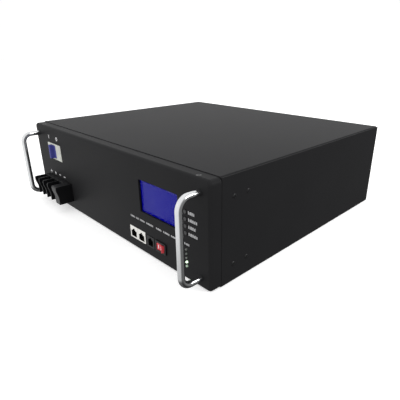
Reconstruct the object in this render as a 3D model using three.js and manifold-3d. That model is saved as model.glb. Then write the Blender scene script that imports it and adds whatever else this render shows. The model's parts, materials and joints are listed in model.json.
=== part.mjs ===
// Rack battery pack, three units high: a folded steel case with a front panel of controls,
// sixteen flat cells in two rows, and the boards and cables between them.
// Millimetres, +Z up, +X to the right seen from the front, front panel facing -Y.
// The origin is the middle of the case's underside.

import * as THREE from 'three';
import { mergeVertices } from 'three/addons/utils/BufferGeometryUtils.js';
import Module from 'manifold-3d';

const wasm = await Module();
wasm.setup();

// ---------------------------------------------------------------- driving dimensions

// Case
const caseWidth = 442;
const caseDepth = 385; // front panel face to rear face
const caseHeight = 131.5; // height of the front panel
const sheetThickness = 1.5;
const bendRadius = 3;
const coverRise = 0.8; // the cover's top above the panel's top flange
const coverInset = 1.8; // the cover's side edge inside the wall's outer face
const coverFlangeDepth = 14;
const coverBend = 2;
const rearFlangeDepth = 12;
const touchGap = 0.3; // between pieces that rest on each other
const seamGap = 0.6; // between sheets that meet edge to edge

// Front panel
const panelThickness = 2;
const panelFlangeDepth = 16;
const panelEdgeRadius = 4.5;
const panelCornerRadius = 6;
const panelTabDepth = 11; // wall tabs reaching inside the panel's flanges
const panelTabMargin = 9; // tab ends from the panel's top and bottom
const panelTabRoot = 8; // where the tabs are joined to the walls
const cutGap = 0.4; // around what passes through the panel

// Handles
const handleRod = 8;
const handleSpacing = 102;
const handleHeight = 65.5; // middle of the handle above the underside
const handleInset = 15.5; // rod axis from the side of the case
const handleReach = 28.5; // bar axis in front of the panel
const handleBend = 13;
const handleScrew = 4.2;
const handleScrewDepth = 12;

// Circuit breaker, lying on its side
const breakerInset = 68.5; // middle of the breaker from the left side
const breakerZ = 91.5;
const breakerLength = 83;
const breakerWidth = 27;
const breakerNose = 47;
const breakerNoseDepth = 15;
const breakerShoulder = 3;
const breakerDepth = 62; // panel face to the back of the body
const breakerProud = 0.5;
const railWidth = 35;
const railLip = 4;
const railSheet = 1;
const railSeat = 5; // depth of the clip recess in the body
const railHookGap = 1.4; // between the rail's lips and the recess
const railBottom = 40; // above the floor
const railHeadroom = 6; // under the divider's top
const leverWidth = 22;
const leverThickness = 8;
const leverReach = 16;
const leverOffset = -3; // pivot from the middle of the nose
const leverPivotDepth = 9;
const leverDrum = 9.2; // radius
const leverAngle = 20; // each side of straight out
const leverRound = 1.5;
const leverGap = 0.5;

// Terminal block
const terminalInset = 31; // from the left side
const terminalBottom = 16;
const terminalHeight = 30.5;
const terminalPitch = 17.3;
const terminalCount = 4;
const terminalEnd = 15.8; // width of the solid end
const terminalReach = 27;
const terminalWall = 2.4;
const terminalFloor = 8;
const terminalLip = 6.5; // height of the wall's front edge
const terminalRetreat = 11; // height over which it draws back below the lip
const terminalSetBack = 3.2;
const terminalRound = 2;
const terminalRearDepth = 22;
const terminalRearInset = 3.5; // rear body in from the block's ends
const terminalRearMargin = 6; // and from its top and bottom
const boltShank = 6;
const boltHeadHeight = 4.5;
const boltWasherGap = 0.4; // washer to barrier
const boltWasherRim = 0.7; // washer beyond the head's flats
const boltWasherHeight = 1.8;
const boltCollar = 1; // round collar between washer and head
const boltLength = 14;

// Display
const displayInset = 90.5; // middle of the display from the right side
const displayZ = 81.5;
const displayWindowWidth = 75;
const displayWindowHeight = 43;
const displayGlass = 1.2;
const displayGlassMargin = 3;
const displayBoardWidth = 93;
const displayBoardHeight = 70;
const displayBodyDepth = 4.6;
const displayBackDepth = 5;
const displayRim = 4; // metal frame outside the window
const boardThickness = 1.6;

// Data jacks
const jackBottom = 15;
const jackSize = 17.2;
const jackDepth = 21;
const jackInset = 155.8; // left side of the first jack from the right side
const jackProud = 0.4;
const jackSocketWidth = 12;
const jackSocketHeight = 8.6;
const jackSocketDepth = 14;
const jackSill = 2.2;
const jackLatchWidth = 6.4;
const jackLatchHeight = 2.9;
const serialJackSpacing = 3.1; // from the shielded jacks
const serialJackSize = 16;
const serialSocketWidth = 10.2;

// Rocker switch
const rockerSpacing = 4; // from the serial jack
const rockerZ = 24.2;
const rockerBezelWidth = 21;
const rockerBezelHeight = 15;
const rockerBezelThickness = 1.8;
const rockerBodyWidth = 19;
const rockerBodyHeight = 12.8;
const rockerBodyDepth = 15;
const rockerWall = 1.3;
const rockerWellDepth = 9;
const rockerPivotDepth = 1.5;
const rockerTilt = 11;
const rockerGap = 0.25;
const rockerValley = 2.8; // middle of the face in front of the pivot
const rockerFoot = 4.4; // back of the rocker behind the pivot
const rockerFootWidth = 6;
const bladeHeight = 6.3;
const bladeLength = 8;
const bladeThickness = 0.8;
const bladeSpacing = 8;

// Menu buttons and status lamps, in one column
const keyColumnInset = 39.5; // from the right side
const buttonCount = 4;
const buttonLowest = 61.8;
const buttonPitch = 8.6;
const buttonDiameter = 4.8;
const buttonProud = 1.2;
const buttonTravel = 0.6;
const lampCount = 5;
const lampLowest = 19;
const lampPitch = 5.4;
const lampDiameter = 2.9;
const lampProud = 1.1;
const keyBoardDepth = 10; // board face behind the panel face
const keyBoardWidth = 10.5;
const keyBoardMargin = 3.5; // board's left edge from the column
const keySwitchSize = 5.8;
const keySwitchHeight = 3.3;
const keyBoardEnds = 6; // board beyond the first lamp and the last button

// Boards and divider
const portBoardDepth = 54;
const portBoardMargin = 3;
const portHeaderWidth = 26;
const portHeaderHeight = 8;
const dividerDepth = 74; // divider face behind the panel face
const dividerHeadroom = 3.8; // under the cover
const dividerFlange = 46;
const dividerLift = 2; // above the floor
const wallScrewDepths = [35.5, 58]; // behind the panel face
const wallScrewHeights = [24.2, 107];
const wallScrewHole = 4.2;
const managerInset = 129; // board's left edge from the case's left side
const managerWidth = 292;
const managerBottom = 12;
const managerHeight = 100;
const managerStandOff = 4;
const lugInset = 12; // cable lugs from the board's left edge
const lugHeights = [16, 46]; // above the board's bottom edge
const lugDepth = 6;
const plugInset = 60;
const plugPitch = 32;
const plugWidth = 24;
const plugDepth = 7;
const sinkInset = 107; // heat sink's left edge from the board's
const sinkWidth = 180;
const sinkBottom = 46;
const sinkHeight = 60;
const sinkBase = 3;
const sinkFin = 9;
const sinkFinCount = 9;
const sinkFinThickness = 1.8;

// Cells
const cellColumns = 8;
const cellRows = 2;
const cellThickness = 40;
const cellLength = 148;
const cellHeight = 98;
const cellCorner = 3;
const cellGap = 0.4;
const rowGap = 1;
const cellBayDepth = 84.5; // first cell behind the panel face
const padThickness = 2;
const poleOffset = 52; // poles from the middle of the cell
const poleDiameter = 14;
const poleHeight = 3.1;
const endPlateThickness = 5;
const endPlateHeight = 93;
const endPlateFoot = 26;
const endPlateFootThickness = 3;
const endPlateHole = 6;
const endPlateHolePlaces = [0.12, 0.5, 0.88]; // shares of its length
const trayThickness = 2.4;
const trayMargin = 4;
const trayWindow = 18;

// Power cables
const cableDiameter = 9;
const cableSlotInset = 21; // middle of the divider's cable slots from the left side
const cableSlotWidth = 30;
const cableSlotHeight = 38;
const cableSlotHeights = [33, 97]; // middles

// ---------------------------------------------------------------- shape helpers

const axisX = new THREE.Vector3(1, 0, 0);
const axisY = new THREE.Vector3(0, 1, 0);
const axisZ = new THREE.Vector3(0, 0, 1);
const degree = Math.PI / 180;

// A closed geometry as a solid that can be cut and joined.
function solidOf(geometry) {
  const bare = geometry.clone();
  bare.deleteAttribute('normal');
  bare.deleteAttribute('uv');
  const merged = mergeVertices(bare, 1e-4);
  const corners = merged.index.array;
  const kept = [];
  for (let i = 0; i < corners.length; i += 3) {
    const [a, b, c] = [corners[i], corners[i + 1], corners[i + 2]];
    if (a !== b && b !== c && c !== a) kept.push(a, b, c);
  }
  return new wasm.Manifold(new wasm.Mesh({
    numProp: 3,
    vertProperties: new Float32Array(merged.attributes.position.array),
    triVerts: new Uint32Array(kept),
  }));
}

// A solid back as a geometry for a mesh.
function geometryOf(solid) {
  const { vertProperties, triVerts } = solid.getMesh();
  const geometry = new THREE.BufferGeometry();
  geometry.setAttribute('position', new THREE.BufferAttribute(new Float32Array(vertProperties), 3));
  geometry.setIndex(new THREE.BufferAttribute(new Uint32Array(triVerts), 1));
  geometry.computeVertexNormals();
  return geometry;
}

function join(first, ...others) {
  return others.reduce((solid, other) => solid.add(other), first);
}

function cut(first, ...others) {
  return others.reduce((solid, other) => solid.subtract(other), first);
}

function block([x0, x1], [y0, y1], [z0, z1]) {
  const geometry = new THREE.BoxGeometry(x1 - x0, y1 - y0, z1 - z0);
  geometry.translate((x0 + x1) / 2, (y0 + y1) / 2, (z0 + z1) / 2);
  return solidOf(geometry);
}

function outline(points) {
  return new THREE.Shape(points.map(([a, b]) => new THREE.Vector2(a, b)));
}

function roundedRectangle([a0, a1], [b0, b1], radius) {
  const shape = new THREE.Shape();
  shape.moveTo(a0 + radius, b0);
  shape.lineTo(a1 - radius, b0);
  shape.absarc(a1 - radius, b0 + radius, radius, -Math.PI / 2, 0);
  shape.lineTo(a1, b1 - radius);
  shape.absarc(a1 - radius, b1 - radius, radius, 0, Math.PI / 2);
  shape.lineTo(a0 + radius, b1);
  shape.absarc(a0 + radius, b1 - radius, radius, Math.PI / 2, Math.PI);
  shape.lineTo(a0, b0 + radius);
  shape.absarc(a0 + radius, b0 + radius, radius, Math.PI, 1.5 * Math.PI);
  return shape;
}

function disc(a, b, diameter) {
  const shape = new THREE.Shape();
  shape.absarc(a, b, diameter / 2, 0, 2 * Math.PI);
  return shape;
}

function extruded(shape, depth, curveSegments) {
  return new THREE.ExtrudeGeometry(shape, { depth, bevelEnabled: false, curveSegments });
}

// A shape drawn in X and Y, drawn out along Z.
function prismZ(shape, [z0, z1], curveSegments = 3) {
  return solidOf(extruded(shape, z1 - z0, curveSegments).translate(0, 0, z0));
}

// A shape drawn in X and Z, drawn out along Y.
function prismY(shape, [y0, y1], curveSegments = 3) {
  const turn = new THREE.Matrix4().makeBasis(axisX, axisZ, axisY.clone().negate());
  return solidOf(extruded(shape, y1 - y0, curveSegments).applyMatrix4(turn).translate(0, y1, 0));
}

// A shape drawn in Y and Z, drawn out along X.
function prismX(shape, [x0, x1], curveSegments = 3) {
  const turn = new THREE.Matrix4().makeBasis(axisY, axisZ, axisX);
  return solidOf(extruded(shape, x1 - x0, curveSegments).applyMatrix4(turn).translate(x0, 0, 0));
}

// A round piece about a line along Y, from [radius, y] points that start and end on the axis.
function turned(profile, segments) {
  const points = profile.map(([radius, y]) => new THREE.Vector2(radius, y));
  return solidOf(new THREE.LatheGeometry(points, segments));
}

// A round rod along a curve.
function rodAlong(curve, diameter, sides, steps) {
  const section = new THREE.Shape();
  section.absarc(0, 0, diameter / 2, 0, 2 * Math.PI);
  return solidOf(new THREE.ExtrudeGeometry(section, {
    steps,
    bevelEnabled: false,
    extrudePath: curve,
    curveSegments: sides,
  }));
}

function addPart(parent, name, solid, material, [x, y, z] = [0, 0, 0]) {
  const mesh = new THREE.Mesh(geometryOf(solid), material);
  mesh.name = name;
  mesh.position.set(x, y, z);
  parent.add(mesh);
  return mesh;
}

function finish(color, roughness, metalness) {
  return new THREE.MeshStandardMaterial({ color, roughness, metalness });
}

// ---------------------------------------------------------------- materials

const powderCoat = finish(0x1c1c1e, 0.6, 0.1);
const polishedSteel = finish(0xc9ccd0, 0.12, 1);
const zincSteel = finish(0xb4b6b8, 0.35, 0.9);
const breakerPlastic = finish(0xe9ecef, 0.5, 0);
const leverPlastic = finish(0x2b5fc0, 0.4, 0);
const blackPlastic = finish(0x121213, 0.5, 0);
const clearAcrylic = finish(0x5a55d0, 0.08, 0);
const displayBlue = finish(0x2a22b8, 0.3, 0);
const jackShield = finish(0xb9bcc0, 0.3, 0.9);
const rockerRed = finish(0xc4161c, 0.35, 0);
const buttonGrey = finish(0x2a2a2c, 0.5, 0);
const lampClear = finish(0xd8f5cf, 0.15, 0);
const circuitGreen = finish(0x14502c, 0.5, 0);
const bareAluminium = finish(0xb8babd, 0.4, 1);
const cellFilm = finish(0x1d4f9c, 0.3, 0);
const glassFibre = finish(0x9fb08c, 0.6, 0);
const trayPlastic = finish(0xd9dbd6, 0.5, 0);
const redSleeve = finish(0xa81a1a, 0.5, 0);
const blackSleeve = finish(0x161616, 0.5, 0);

// ---------------------------------------------------------------- shared places

const halfWidth = caseWidth / 2;
const wallInside = halfWidth - sheetThickness;
const frontEdge = panelFlangeDepth + seamGap; // where the tray and the cover start
const floorTop = sheetThickness;
const coverTop = caseHeight + coverRise;
const coverUnder = coverTop - sheetThickness;
const panelBack = panelThickness;
const behindPanel = panelBack + touchGap;
const dividerFace = dividerDepth;
const dividerBack = dividerDepth + sheetThickness;
const dividerTop = coverUnder - dividerHeadroom;
const breakerX = -halfWidth + breakerInset;
const terminalLeft = -halfWidth + terminalInset;
const displayX = halfWidth - displayInset;
const jackLeft = halfWidth - jackInset;
const serialJackLeft = jackLeft + 2 * jackSize + touchGap + serialJackSpacing;
const rockerX = serialJackLeft + serialJackSize + rockerSpacing + rockerBezelWidth / 2;
const keyColumnX = halfWidth - keyColumnInset;
const keyBoardLeft = keyColumnX - keyBoardMargin;
const managerLeft = -halfWidth + managerInset;
const sinkLeft = managerLeft + sinkInset;
const boltWasher = terminalPitch - 2 * (terminalWall + boltWasherGap);
const boltHead = boltWasher - 2 * boltWasherRim; // across flats
const cableSlotX = -halfWidth + cableSlotInset;

// ---------------------------------------------------------------- case

// The panel's cut-outs all take their size from what passes through them.
function panelOpening([x0, x1], [z0, z1], radius = 0.8) {
  const shape = roundedRectangle([x0 - cutGap, x1 + cutGap], [z0 - cutGap, z1 + cutGap], radius);
  return prismY(shape, [-1, panelBack + 1]);
}

function panelHole(x, z, diameter) {
  return prismY(disc(x, z, diameter + 2 * cutGap), [-1, panelBack + 1], 5);
}

function span(middle, size) {
  return [middle - size / 2, middle + size / 2];
}

const terminalWidth = terminalPitch * terminalCount + terminalEnd;
const terminalMiddle = terminalBottom + terminalHeight / 2;
const terminalRight = terminalLeft + terminalWidth;
const terminalRearX = [terminalLeft + terminalRearInset, terminalRight - terminalRearInset];
const terminalRearZ = span(terminalMiddle, terminalHeight - 2 * terminalRearMargin);
const handleFeet = [handleHeight - handleSpacing / 2, handleHeight + handleSpacing / 2];
const handleX = halfWidth - handleInset;
const jackRowWidth = 2 * jackSize + touchGap;
const serialJackTop = jackBottom + serialJackSize;

function buttonHeight(index) {
  return buttonLowest + index * buttonPitch;
}

function lampHeight(index) {
  return lampLowest + index * lampPitch;
}

function makeFrontPanel() {
  const face = roundedRectangle([-halfWidth, halfWidth], [0, caseHeight], panelCornerRadius);
  const rounded = new THREE.ExtrudeGeometry(face, {
    depth: panelFlangeDepth,
    bevelThickness: panelEdgeRadius,
    bevelSize: panelEdgeRadius,
    bevelOffset: -panelEdgeRadius,
    bevelSegments: 3,
    curveSegments: 3,
  });
  const turn = new THREE.Matrix4().makeBasis(axisX, axisZ, axisY.clone().negate());
  rounded.applyMatrix4(turn).translate(0, panelFlangeDepth + panelEdgeRadius, 0);
  const inner = roundedRectangle(
    [-halfWidth + panelThickness, halfWidth - panelThickness],
    [panelThickness, caseHeight - panelThickness],
    panelCornerRadius - panelThickness,
  );
  const cuts = [
    prismY(inner, [panelBack, panelFlangeDepth + 20], 4),
    block([-halfWidth - 5, halfWidth + 5], [panelFlangeDepth, panelFlangeDepth + 30], [-5, caseHeight + 5]),
    panelOpening(span(breakerX, breakerNose), span(breakerZ, breakerWidth)),
    panelOpening(terminalRearX, terminalRearZ),
    panelOpening(span(displayX, displayWindowWidth), span(displayZ, displayWindowHeight), 1.2),
    panelOpening([jackLeft, jackLeft + jackRowWidth], [jackBottom, jackBottom + jackSize]),
    panelOpening([serialJackLeft, serialJackLeft + serialJackSize], [jackBottom, serialJackTop]),
    panelOpening(span(rockerX, rockerBodyWidth), span(rockerZ, rockerBodyHeight)),
  ];
  for (let i = 0; i < buttonCount; i += 1) {
    cuts.push(panelHole(keyColumnX, buttonHeight(i), buttonDiameter));
  }
  for (let i = 0; i < lampCount; i += 1) {
    cuts.push(panelHole(keyColumnX, lampHeight(i), lampDiameter));
  }
  for (const x of [-handleX, handleX]) {
    for (const z of handleFeet) cuts.push(panelHole(x, z, handleScrew));
  }
  return cut(solidOf(rounded), ...cuts);
}

// Bottom and side walls in one sheet, with tabs that reach inside the panel's flanges.
function makeTray() {
  const wallTop = coverTop - coverRise - touchGap;
  const outer = new THREE.Shape();
  outer.moveTo(-halfWidth, wallTop);
  outer.lineTo(-halfWidth, bendRadius);
  outer.absarc(-halfWidth + bendRadius, bendRadius, bendRadius, Math.PI, 1.5 * Math.PI);
  outer.lineTo(halfWidth - bendRadius, 0);
  outer.absarc(halfWidth - bendRadius, bendRadius, bendRadius, -Math.PI / 2, 0);
  outer.lineTo(halfWidth, wallTop);
  const insideBend = bendRadius - sheetThickness;
  outer.lineTo(wallInside, wallTop);
  outer.lineTo(wallInside, floorTop + insideBend);
  outer.absarc(wallInside - insideBend, floorTop + insideBend, insideBend, 0, -Math.PI / 2, true);
  outer.lineTo(-wallInside + insideBend, floorTop);
  outer.absarc(-wallInside + insideBend, floorTop + insideBend, insideBend, -Math.PI / 2, -Math.PI, true);
  outer.lineTo(-wallInside, wallTop);
  let tray = prismY(outer, [frontEdge, caseDepth], 4);
  const tabOutside = halfWidth - panelThickness - touchGap;
  const tabHeights = [panelTabMargin, caseHeight - panelTabMargin];
  const tabRoot = frontEdge + panelTabRoot;
  for (const side of [-1, 1]) {
    const across = (a, b) => [Math.min(side * a, side * b), Math.max(side * a, side * b)];
    const tabInside = tabOutside - sheetThickness;
    tray = join(
      tray,
      block(across(tabInside, tabOutside), [frontEdge - panelTabDepth, tabRoot], tabHeights),
      block(across(tabOutside - 0.1, halfWidth - 0.1), [frontEdge, tabRoot], tabHeights),
    );
  }
  const holes = [];
  for (const depth of wallScrewDepths) {
    for (const height of wallScrewHeights) {
      holes.push(prismX(disc(depth, height, wallScrewHole), [-halfWidth - 1, halfWidth + 1], 6));
    }
  }
  return cut(tray, ...holes);
}

// A sheet with its two long edges turned down, set between the side walls.
function makeTopCover() {
  const edge = halfWidth - coverInset;
  const bend = coverBend;
  const insideBend = bend - sheetThickness;
  const low = coverTop - coverFlangeDepth;
  const shape = new THREE.Shape();
  shape.moveTo(-edge, low);
  shape.lineTo(-edge + sheetThickness, low);
  shape.lineTo(-edge + sheetThickness, coverUnder - insideBend);
  shape.absarc(-edge + bend, coverTop - bend, insideBend, Math.PI, Math.PI / 2, true);
  shape.lineTo(edge - bend, coverUnder);
  shape.absarc(edge - bend, coverTop - bend, insideBend, Math.PI / 2, 0, true);
  shape.lineTo(edge - sheetThickness, low);
  shape.lineTo(edge, low);
  shape.lineTo(edge, coverTop - bend);
  shape.absarc(edge - bend, coverTop - bend, bend, 0, Math.PI / 2);
  shape.lineTo(-edge + bend, coverTop);
  shape.absarc(-edge + bend, coverTop - bend, bend, Math.PI / 2, Math.PI);
  const tabEnd = frontEdge + panelTabRoot + touchGap;
  const notches = [-1, 1].map((side) => block(
    side < 0 ? [-halfWidth, -edge + sheetThickness + 1] : [edge - sheetThickness - 1, halfWidth],
    [frontEdge - 1, tabEnd],
    [low - 1, coverUnder - bend],
  ));
  return cut(prismY(shape, [frontEdge, caseDepth], 3), ...notches);
}

// A flat pan between the walls, under the cover, with its edges turned forwards.
function makeRearPanel() {
  const side = halfWidth - coverInset - sheetThickness - touchGap;
  const low = floorTop + touchGap;
  const high = coverUnder - touchGap;
  const outer = block([-side, side], [caseDepth - rearFlangeDepth, caseDepth], [low, high]);
  const inner = block(
    [-side + sheetThickness, side - sheetThickness],
    [caseDepth - rearFlangeDepth - 1, caseDepth - sheetThickness],
    [low + sheetThickness, high - sheetThickness],
  );
  return cut(outer, inner);
}

function makeHandle() {
  const half = handleSpacing / 2;
  const start = -touchGap;
  const front = -handleReach;
  const corner = front + handleBend;
  const path = new THREE.CurvePath();
  const line = (a, b) => path.add(new THREE.LineCurve3(a, b));
  const bend = (a, middle, b) => path.add(new THREE.QuadraticBezierCurve3(a, middle, b));
  const at = (y, z) => new THREE.Vector3(0, y, z);
  line(at(start, -half), at(corner, -half));
  bend(at(corner, -half), at(front, -half), at(front, -half + handleBend));
  line(at(front, -half + handleBend), at(front, half - handleBend));
  bend(at(front, half - handleBend), at(front, half), at(corner, half));
  line(at(corner, half), at(start, half));
  const bores = [-half, half].map((z) => prismY(disc(0, z, handleScrew), [-handleScrewDepth, 1], 4));
  return cut(rodAlong(path, handleRod, 6, 32), ...bores);
}

// ---------------------------------------------------------------- breaker

// Drawn from above: a narrow nose, shoulders, and a recess at the back for the rail.
function makeBreakerBody() {
  const nose = breakerNose / 2;
  const half = breakerLength / 2;
  const clip = railWidth / 2 + cutGap;
  const shape = outline([
    [-nose, -breakerProud],
    [nose, -breakerProud],
    [nose, breakerNoseDepth],
    [half, breakerNoseDepth + breakerShoulder],
    [half, breakerDepth],
    [clip, breakerDepth],
    [clip, breakerDepth - railSeat],
    [-clip, breakerDepth - railSeat],
    [-clip, breakerDepth],
    [-half, breakerDepth],
    [-half, breakerNoseDepth + breakerShoulder],
    [-nose, breakerNoseDepth],
  ]);
  const reach = leverThickness / 2 / Math.cos(leverAngle * degree);
  const mouth = leverPivotDepth * Math.tan(leverAngle * degree) + reach + leverGap + breakerProud;
  const drum = leverDrum + leverGap;
  const slotZ = span(0, leverWidth + 2 * leverGap);
  return cut(
    prismZ(shape, span(0, breakerWidth)),
    block(span(leverOffset, 2 * mouth), [-breakerProud - 1, leverPivotDepth], slotZ),
    prismZ(disc(leverOffset, leverPivotDepth, 2 * drum), slotZ, 12),
  );
}

// A drum on the pivot with a broad paddle, leaning to the left at rest.
function makeBreakerLever() {
  const drum = prismZ(disc(0, 0, 2 * leverDrum), span(0, leverWidth), 12);
  const half = leverThickness / 2;
  const paddle = roundedRectangle([-half, half], [-leverReach, 0], leverRound);
  return join(drum, prismZ(paddle, span(0, leverWidth), 3)).rotate([0, 0, -leverAngle]);
}

function makeBreakerRail() {
  const half = railWidth / 2;
  const web = half - railLip;
  const front = breakerDepth - railSeat + railHookGap;
  const back = dividerFace - touchGap;
  const shape = outline([
    [-half, front],
    [-web, front],
    [-web, back - railSheet],
    [web, back - railSheet],
    [web, front],
    [half, front],
    [half, front + railSheet],
    [web + railSheet, front + railSheet],
    [web + railSheet, back],
    [-web - railSheet, back],
    [-web - railSheet, front + railSheet],
    [-half, front + railSheet],
  ]);
  return prismZ(shape, [floorTop + touchGap + railBottom, dividerTop - railHeadroom]);
}

// ---------------------------------------------------------------- terminal block

const boltFace = -terminalFloor - touchGap; // floor of the bays

function terminalX(index) {
  return terminalLeft + (index + 0.5) * terminalPitch;
}

// A barrier: a lip at the top front, drawing back to a set-back edge below it.
function barrierShape() {
  const top = terminalBottom + terminalHeight;
  const front = -terminalReach;
  const back = -touchGap;
  const shape = new THREE.Shape();
  shape.moveTo(back, terminalBottom);
  shape.lineTo(back, top);
  shape.lineTo(front + terminalRound, top);
  shape.absarc(front + terminalRound, top - terminalRound, terminalRound, Math.PI / 2, Math.PI);
  shape.lineTo(front, top - terminalLip);
  shape.lineTo(front + terminalSetBack, top - terminalLip - terminalRetreat);
  shape.lineTo(front + terminalSetBack, terminalBottom);
  return shape;
}

function makeTerminalBlock() {
  const top = terminalBottom + terminalHeight;
  const base = block([terminalLeft, terminalRight], [boltFace, -touchGap], [terminalBottom, top]);
  const parts = [base, block(terminalRearX, [-1, terminalRearDepth], terminalRearZ)];
  for (let i = 0; i < terminalCount; i += 1) {
    const x = terminalLeft + i * terminalPitch - (i === 0 ? 0 : terminalWall / 2);
    parts.push(prismX(barrierShape(), [x, x + terminalWall], 5));
  }
  parts.push(prismX(barrierShape(), [terminalRight - terminalEnd, terminalRight], 5));
  const bores = [];
  for (let i = 0; i < terminalCount; i += 1) {
    const hole = disc(terminalX(i), terminalMiddle, boltShank + 2 * touchGap);
    bores.push(prismY(hole, [boltFace - 1, boltFace + boltLength + 1], 4));
  }
  return cut(join(...parts), ...bores);
}

function makeTerminalBolt() {
  const washer = boltWasher / 2;
  const collar = boltHead / 2 - boltCollar;
  const shank = boltShank / 2;
  const round = turned([
    [0, -boltWasherHeight - boltCollar],
    [collar, -boltWasherHeight - boltCollar],
    [collar, -boltWasherHeight],
    [washer, -boltWasherHeight],
    [washer, 0],
    [shank, 0],
    [shank, boltLength],
    [0, boltLength],
  ], 14);
  const hexagon = [];
  for (let i = 0; i < 6; i += 1) {
    const angle = i * 60 * degree;
    const corner = boltHead / 2 / Math.cos(30 * degree);
    hexagon.push([corner * Math.cos(angle), corner * Math.sin(angle)]);
  }
  const front = -boltWasherHeight - boltHeadHeight;
  const head = prismY(outline(hexagon), [front, -boltWasherHeight - boltCollar / 2]);
  return join(round, head);
}

// ---------------------------------------------------------------- display

const glassBack = behindPanel + displayGlass;

function makeDisplayWindow() {
  const width = displayWindowWidth + 2 * displayGlassMargin;
  const height = displayWindowHeight + 2 * displayGlassMargin;
  return prismY(roundedRectangle(span(0, width), span(0, height), 1.5), [behindPanel, glassBack]);
}

// Metal-framed glass on a board, with the light box behind it.
function makeDisplayModule() {
  const front = glassBack + touchGap;
  const board = front + displayBodyDepth;
  const body = block(
    span(0, displayWindowWidth + 2 * displayRim),
    [front, board + 0.2],
    span(0, displayWindowHeight + 2 * displayRim),
  );
  const plate = block(
    span(0, displayBoardWidth),
    [board, board + boardThickness],
    span(0, displayBoardHeight),
  );
  const light = block(
    span(0, displayWindowWidth + 2),
    [board + 1, board + boardThickness + displayBackDepth],
    span(0, displayWindowHeight - 8),
  );
  const corner = [displayBoardWidth / 2 - 2.5, displayBoardHeight / 2 - 2.5];
  const holes = [];
  for (const x of [-corner[0], corner[0]]) {
    for (const z of [-corner[1], corner[1]]) {
      holes.push(prismY(disc(x, z, 2.5), [board - 1, board + boardThickness + 1], 4));
    }
  }
  return cut(join(body, plate, light), ...holes);
}

// ---------------------------------------------------------------- jacks

// A square jack with a stepped socket, its latch notch at the top.
function makeJack(size, socketWidth) {
  const middle = size / 2;
  const sill = jackSill;
  const roof = sill + jackSocketHeight;
  const socket = span(middle, socketWidth);
  const latch = span(middle, jackLatchWidth);
  const inner = span(middle, jackLatchWidth / 2);
  const shape = outline([
    [socket[0], sill],
    [socket[1], sill],
    [socket[1], roof],
    [latch[1], roof],
    [latch[1], roof + jackLatchHeight / 2],
    [inner[1], roof + jackLatchHeight / 2],
    [inner[1], roof + jackLatchHeight],
    [inner[0], roof + jackLatchHeight],
    [inner[0], roof + jackLatchHeight / 2],
    [latch[0], roof + jackLatchHeight / 2],
    [latch[0], roof],
    [socket[0], roof],
  ]);
  return cut(
    block([0, size], [-jackProud, jackDepth], [0, size]),
    prismY(shape, [-jackProud - 1, jackSocketDepth]),
  );
}

// ---------------------------------------------------------------- rocker switch

function makeRockerHousing() {
  const face = -touchGap - rockerBezelThickness;
  const bezel = roundedRectangle(span(0, rockerBezelWidth), span(0, rockerBezelHeight), 1.2);
  const wellWidth = rockerBodyWidth - 2 * rockerWall;
  const wellHeight = rockerBodyHeight - 2 * rockerWall;
  const blade = (x) => block(
    span(x, bladeThickness),
    [rockerBodyDepth - 0.5, rockerBodyDepth + bladeLength],
    span(0, bladeHeight),
  );
  return cut(
    join(
      prismY(bezel, [face, -touchGap], 3),
      block(span(0, rockerBodyWidth), [-touchGap - 0.5, rockerBodyDepth], span(0, rockerBodyHeight)),
      blade(-bladeSpacing / 2),
      blade(bladeSpacing / 2),
    ),
    block(span(0, wellWidth), [face - 1, rockerWellDepth], span(0, wellHeight)),
  );
}

// The rocker's ends are arcs about its pivot, and its face is a shallow valley.
function makeRockerButton() {
  const radius = rockerBodyWidth / 2 - rockerWall - rockerGap;
  const high = 38 * degree;
  const low = 20 * degree;
  const shape = new THREE.Shape();
  shape.moveTo(0, -rockerValley);
  shape.lineTo(radius * Math.cos(high), -radius * Math.sin(high));
  shape.absarc(0, 0, radius, -high, low);
  shape.lineTo(rockerFootWidth / 2, rockerFoot);
  shape.lineTo(-rockerFootWidth / 2, rockerFoot);
  shape.lineTo(-radius * Math.cos(low), radius * Math.sin(low));
  shape.absarc(0, 0, radius, Math.PI - low, Math.PI + high);
  const width = rockerBodyHeight - 2 * rockerWall - 2 * rockerGap;
  return prismZ(shape, span(0, width), 5).rotate([0, 0, -rockerTilt]);
}

// ---------------------------------------------------------------- buttons and lamps

const keySwitchTop = keyBoardDepth - keySwitchHeight;

function makeMenuButton() {
  const radius = buttonDiameter / 2;
  const flange = panelBack + touchGap + buttonTravel / 2;
  const stem = keySwitchTop - buttonTravel - touchGap;
  return turned([
    [0, -buttonProud],
    [radius - 0.5, -buttonProud],
    [radius, -buttonProud + 0.5],
    [radius, flange],
    [radius + 0.9, flange],
    [radius + 0.9, flange + 0.8],
    [radius - 0.6, flange + 0.8],
    [radius - 0.6, stem],
    [0, stem],
  ], 12);
}

function makeStatusLamp() {
  const radius = lampDiameter / 2;
  const profile = [[0, -lampProud - radius / 2]];
  for (const angle of [30, 60]) {
    const along = -lampProud + radius / 2 - radius * Math.cos(angle * degree);
    profile.push([radius * Math.sin(angle * degree), along]);
  }
  profile.push([radius, -lampProud + radius / 2], [radius, 4.5], [radius + 0.35, 4.5]);
  profile.push([radius + 0.35, keyBoardDepth - touchGap], [0, keyBoardDepth - touchGap]);
  return turned(profile, 10);
}

function makeKeyBoard() {
  const low = lampHeight(0) - keyBoardEnds;
  const high = buttonHeight(buttonCount - 1) + keyBoardEnds;
  const right = keyBoardLeft + keyBoardWidth;
  const board = block([keyBoardLeft, right], [keyBoardDepth, keyBoardDepth + boardThickness], [low, high]);
  const parts = [board];
  for (let i = 0; i < buttonCount; i += 1) {
    parts.push(block(
      span(keyColumnX, keySwitchSize),
      [keySwitchTop, keyBoardDepth + 0.2],
      span(buttonHeight(i), keySwitchSize),
    ));
  }
  return join(...parts);
}

// ---------------------------------------------------------------- boards and divider

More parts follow.
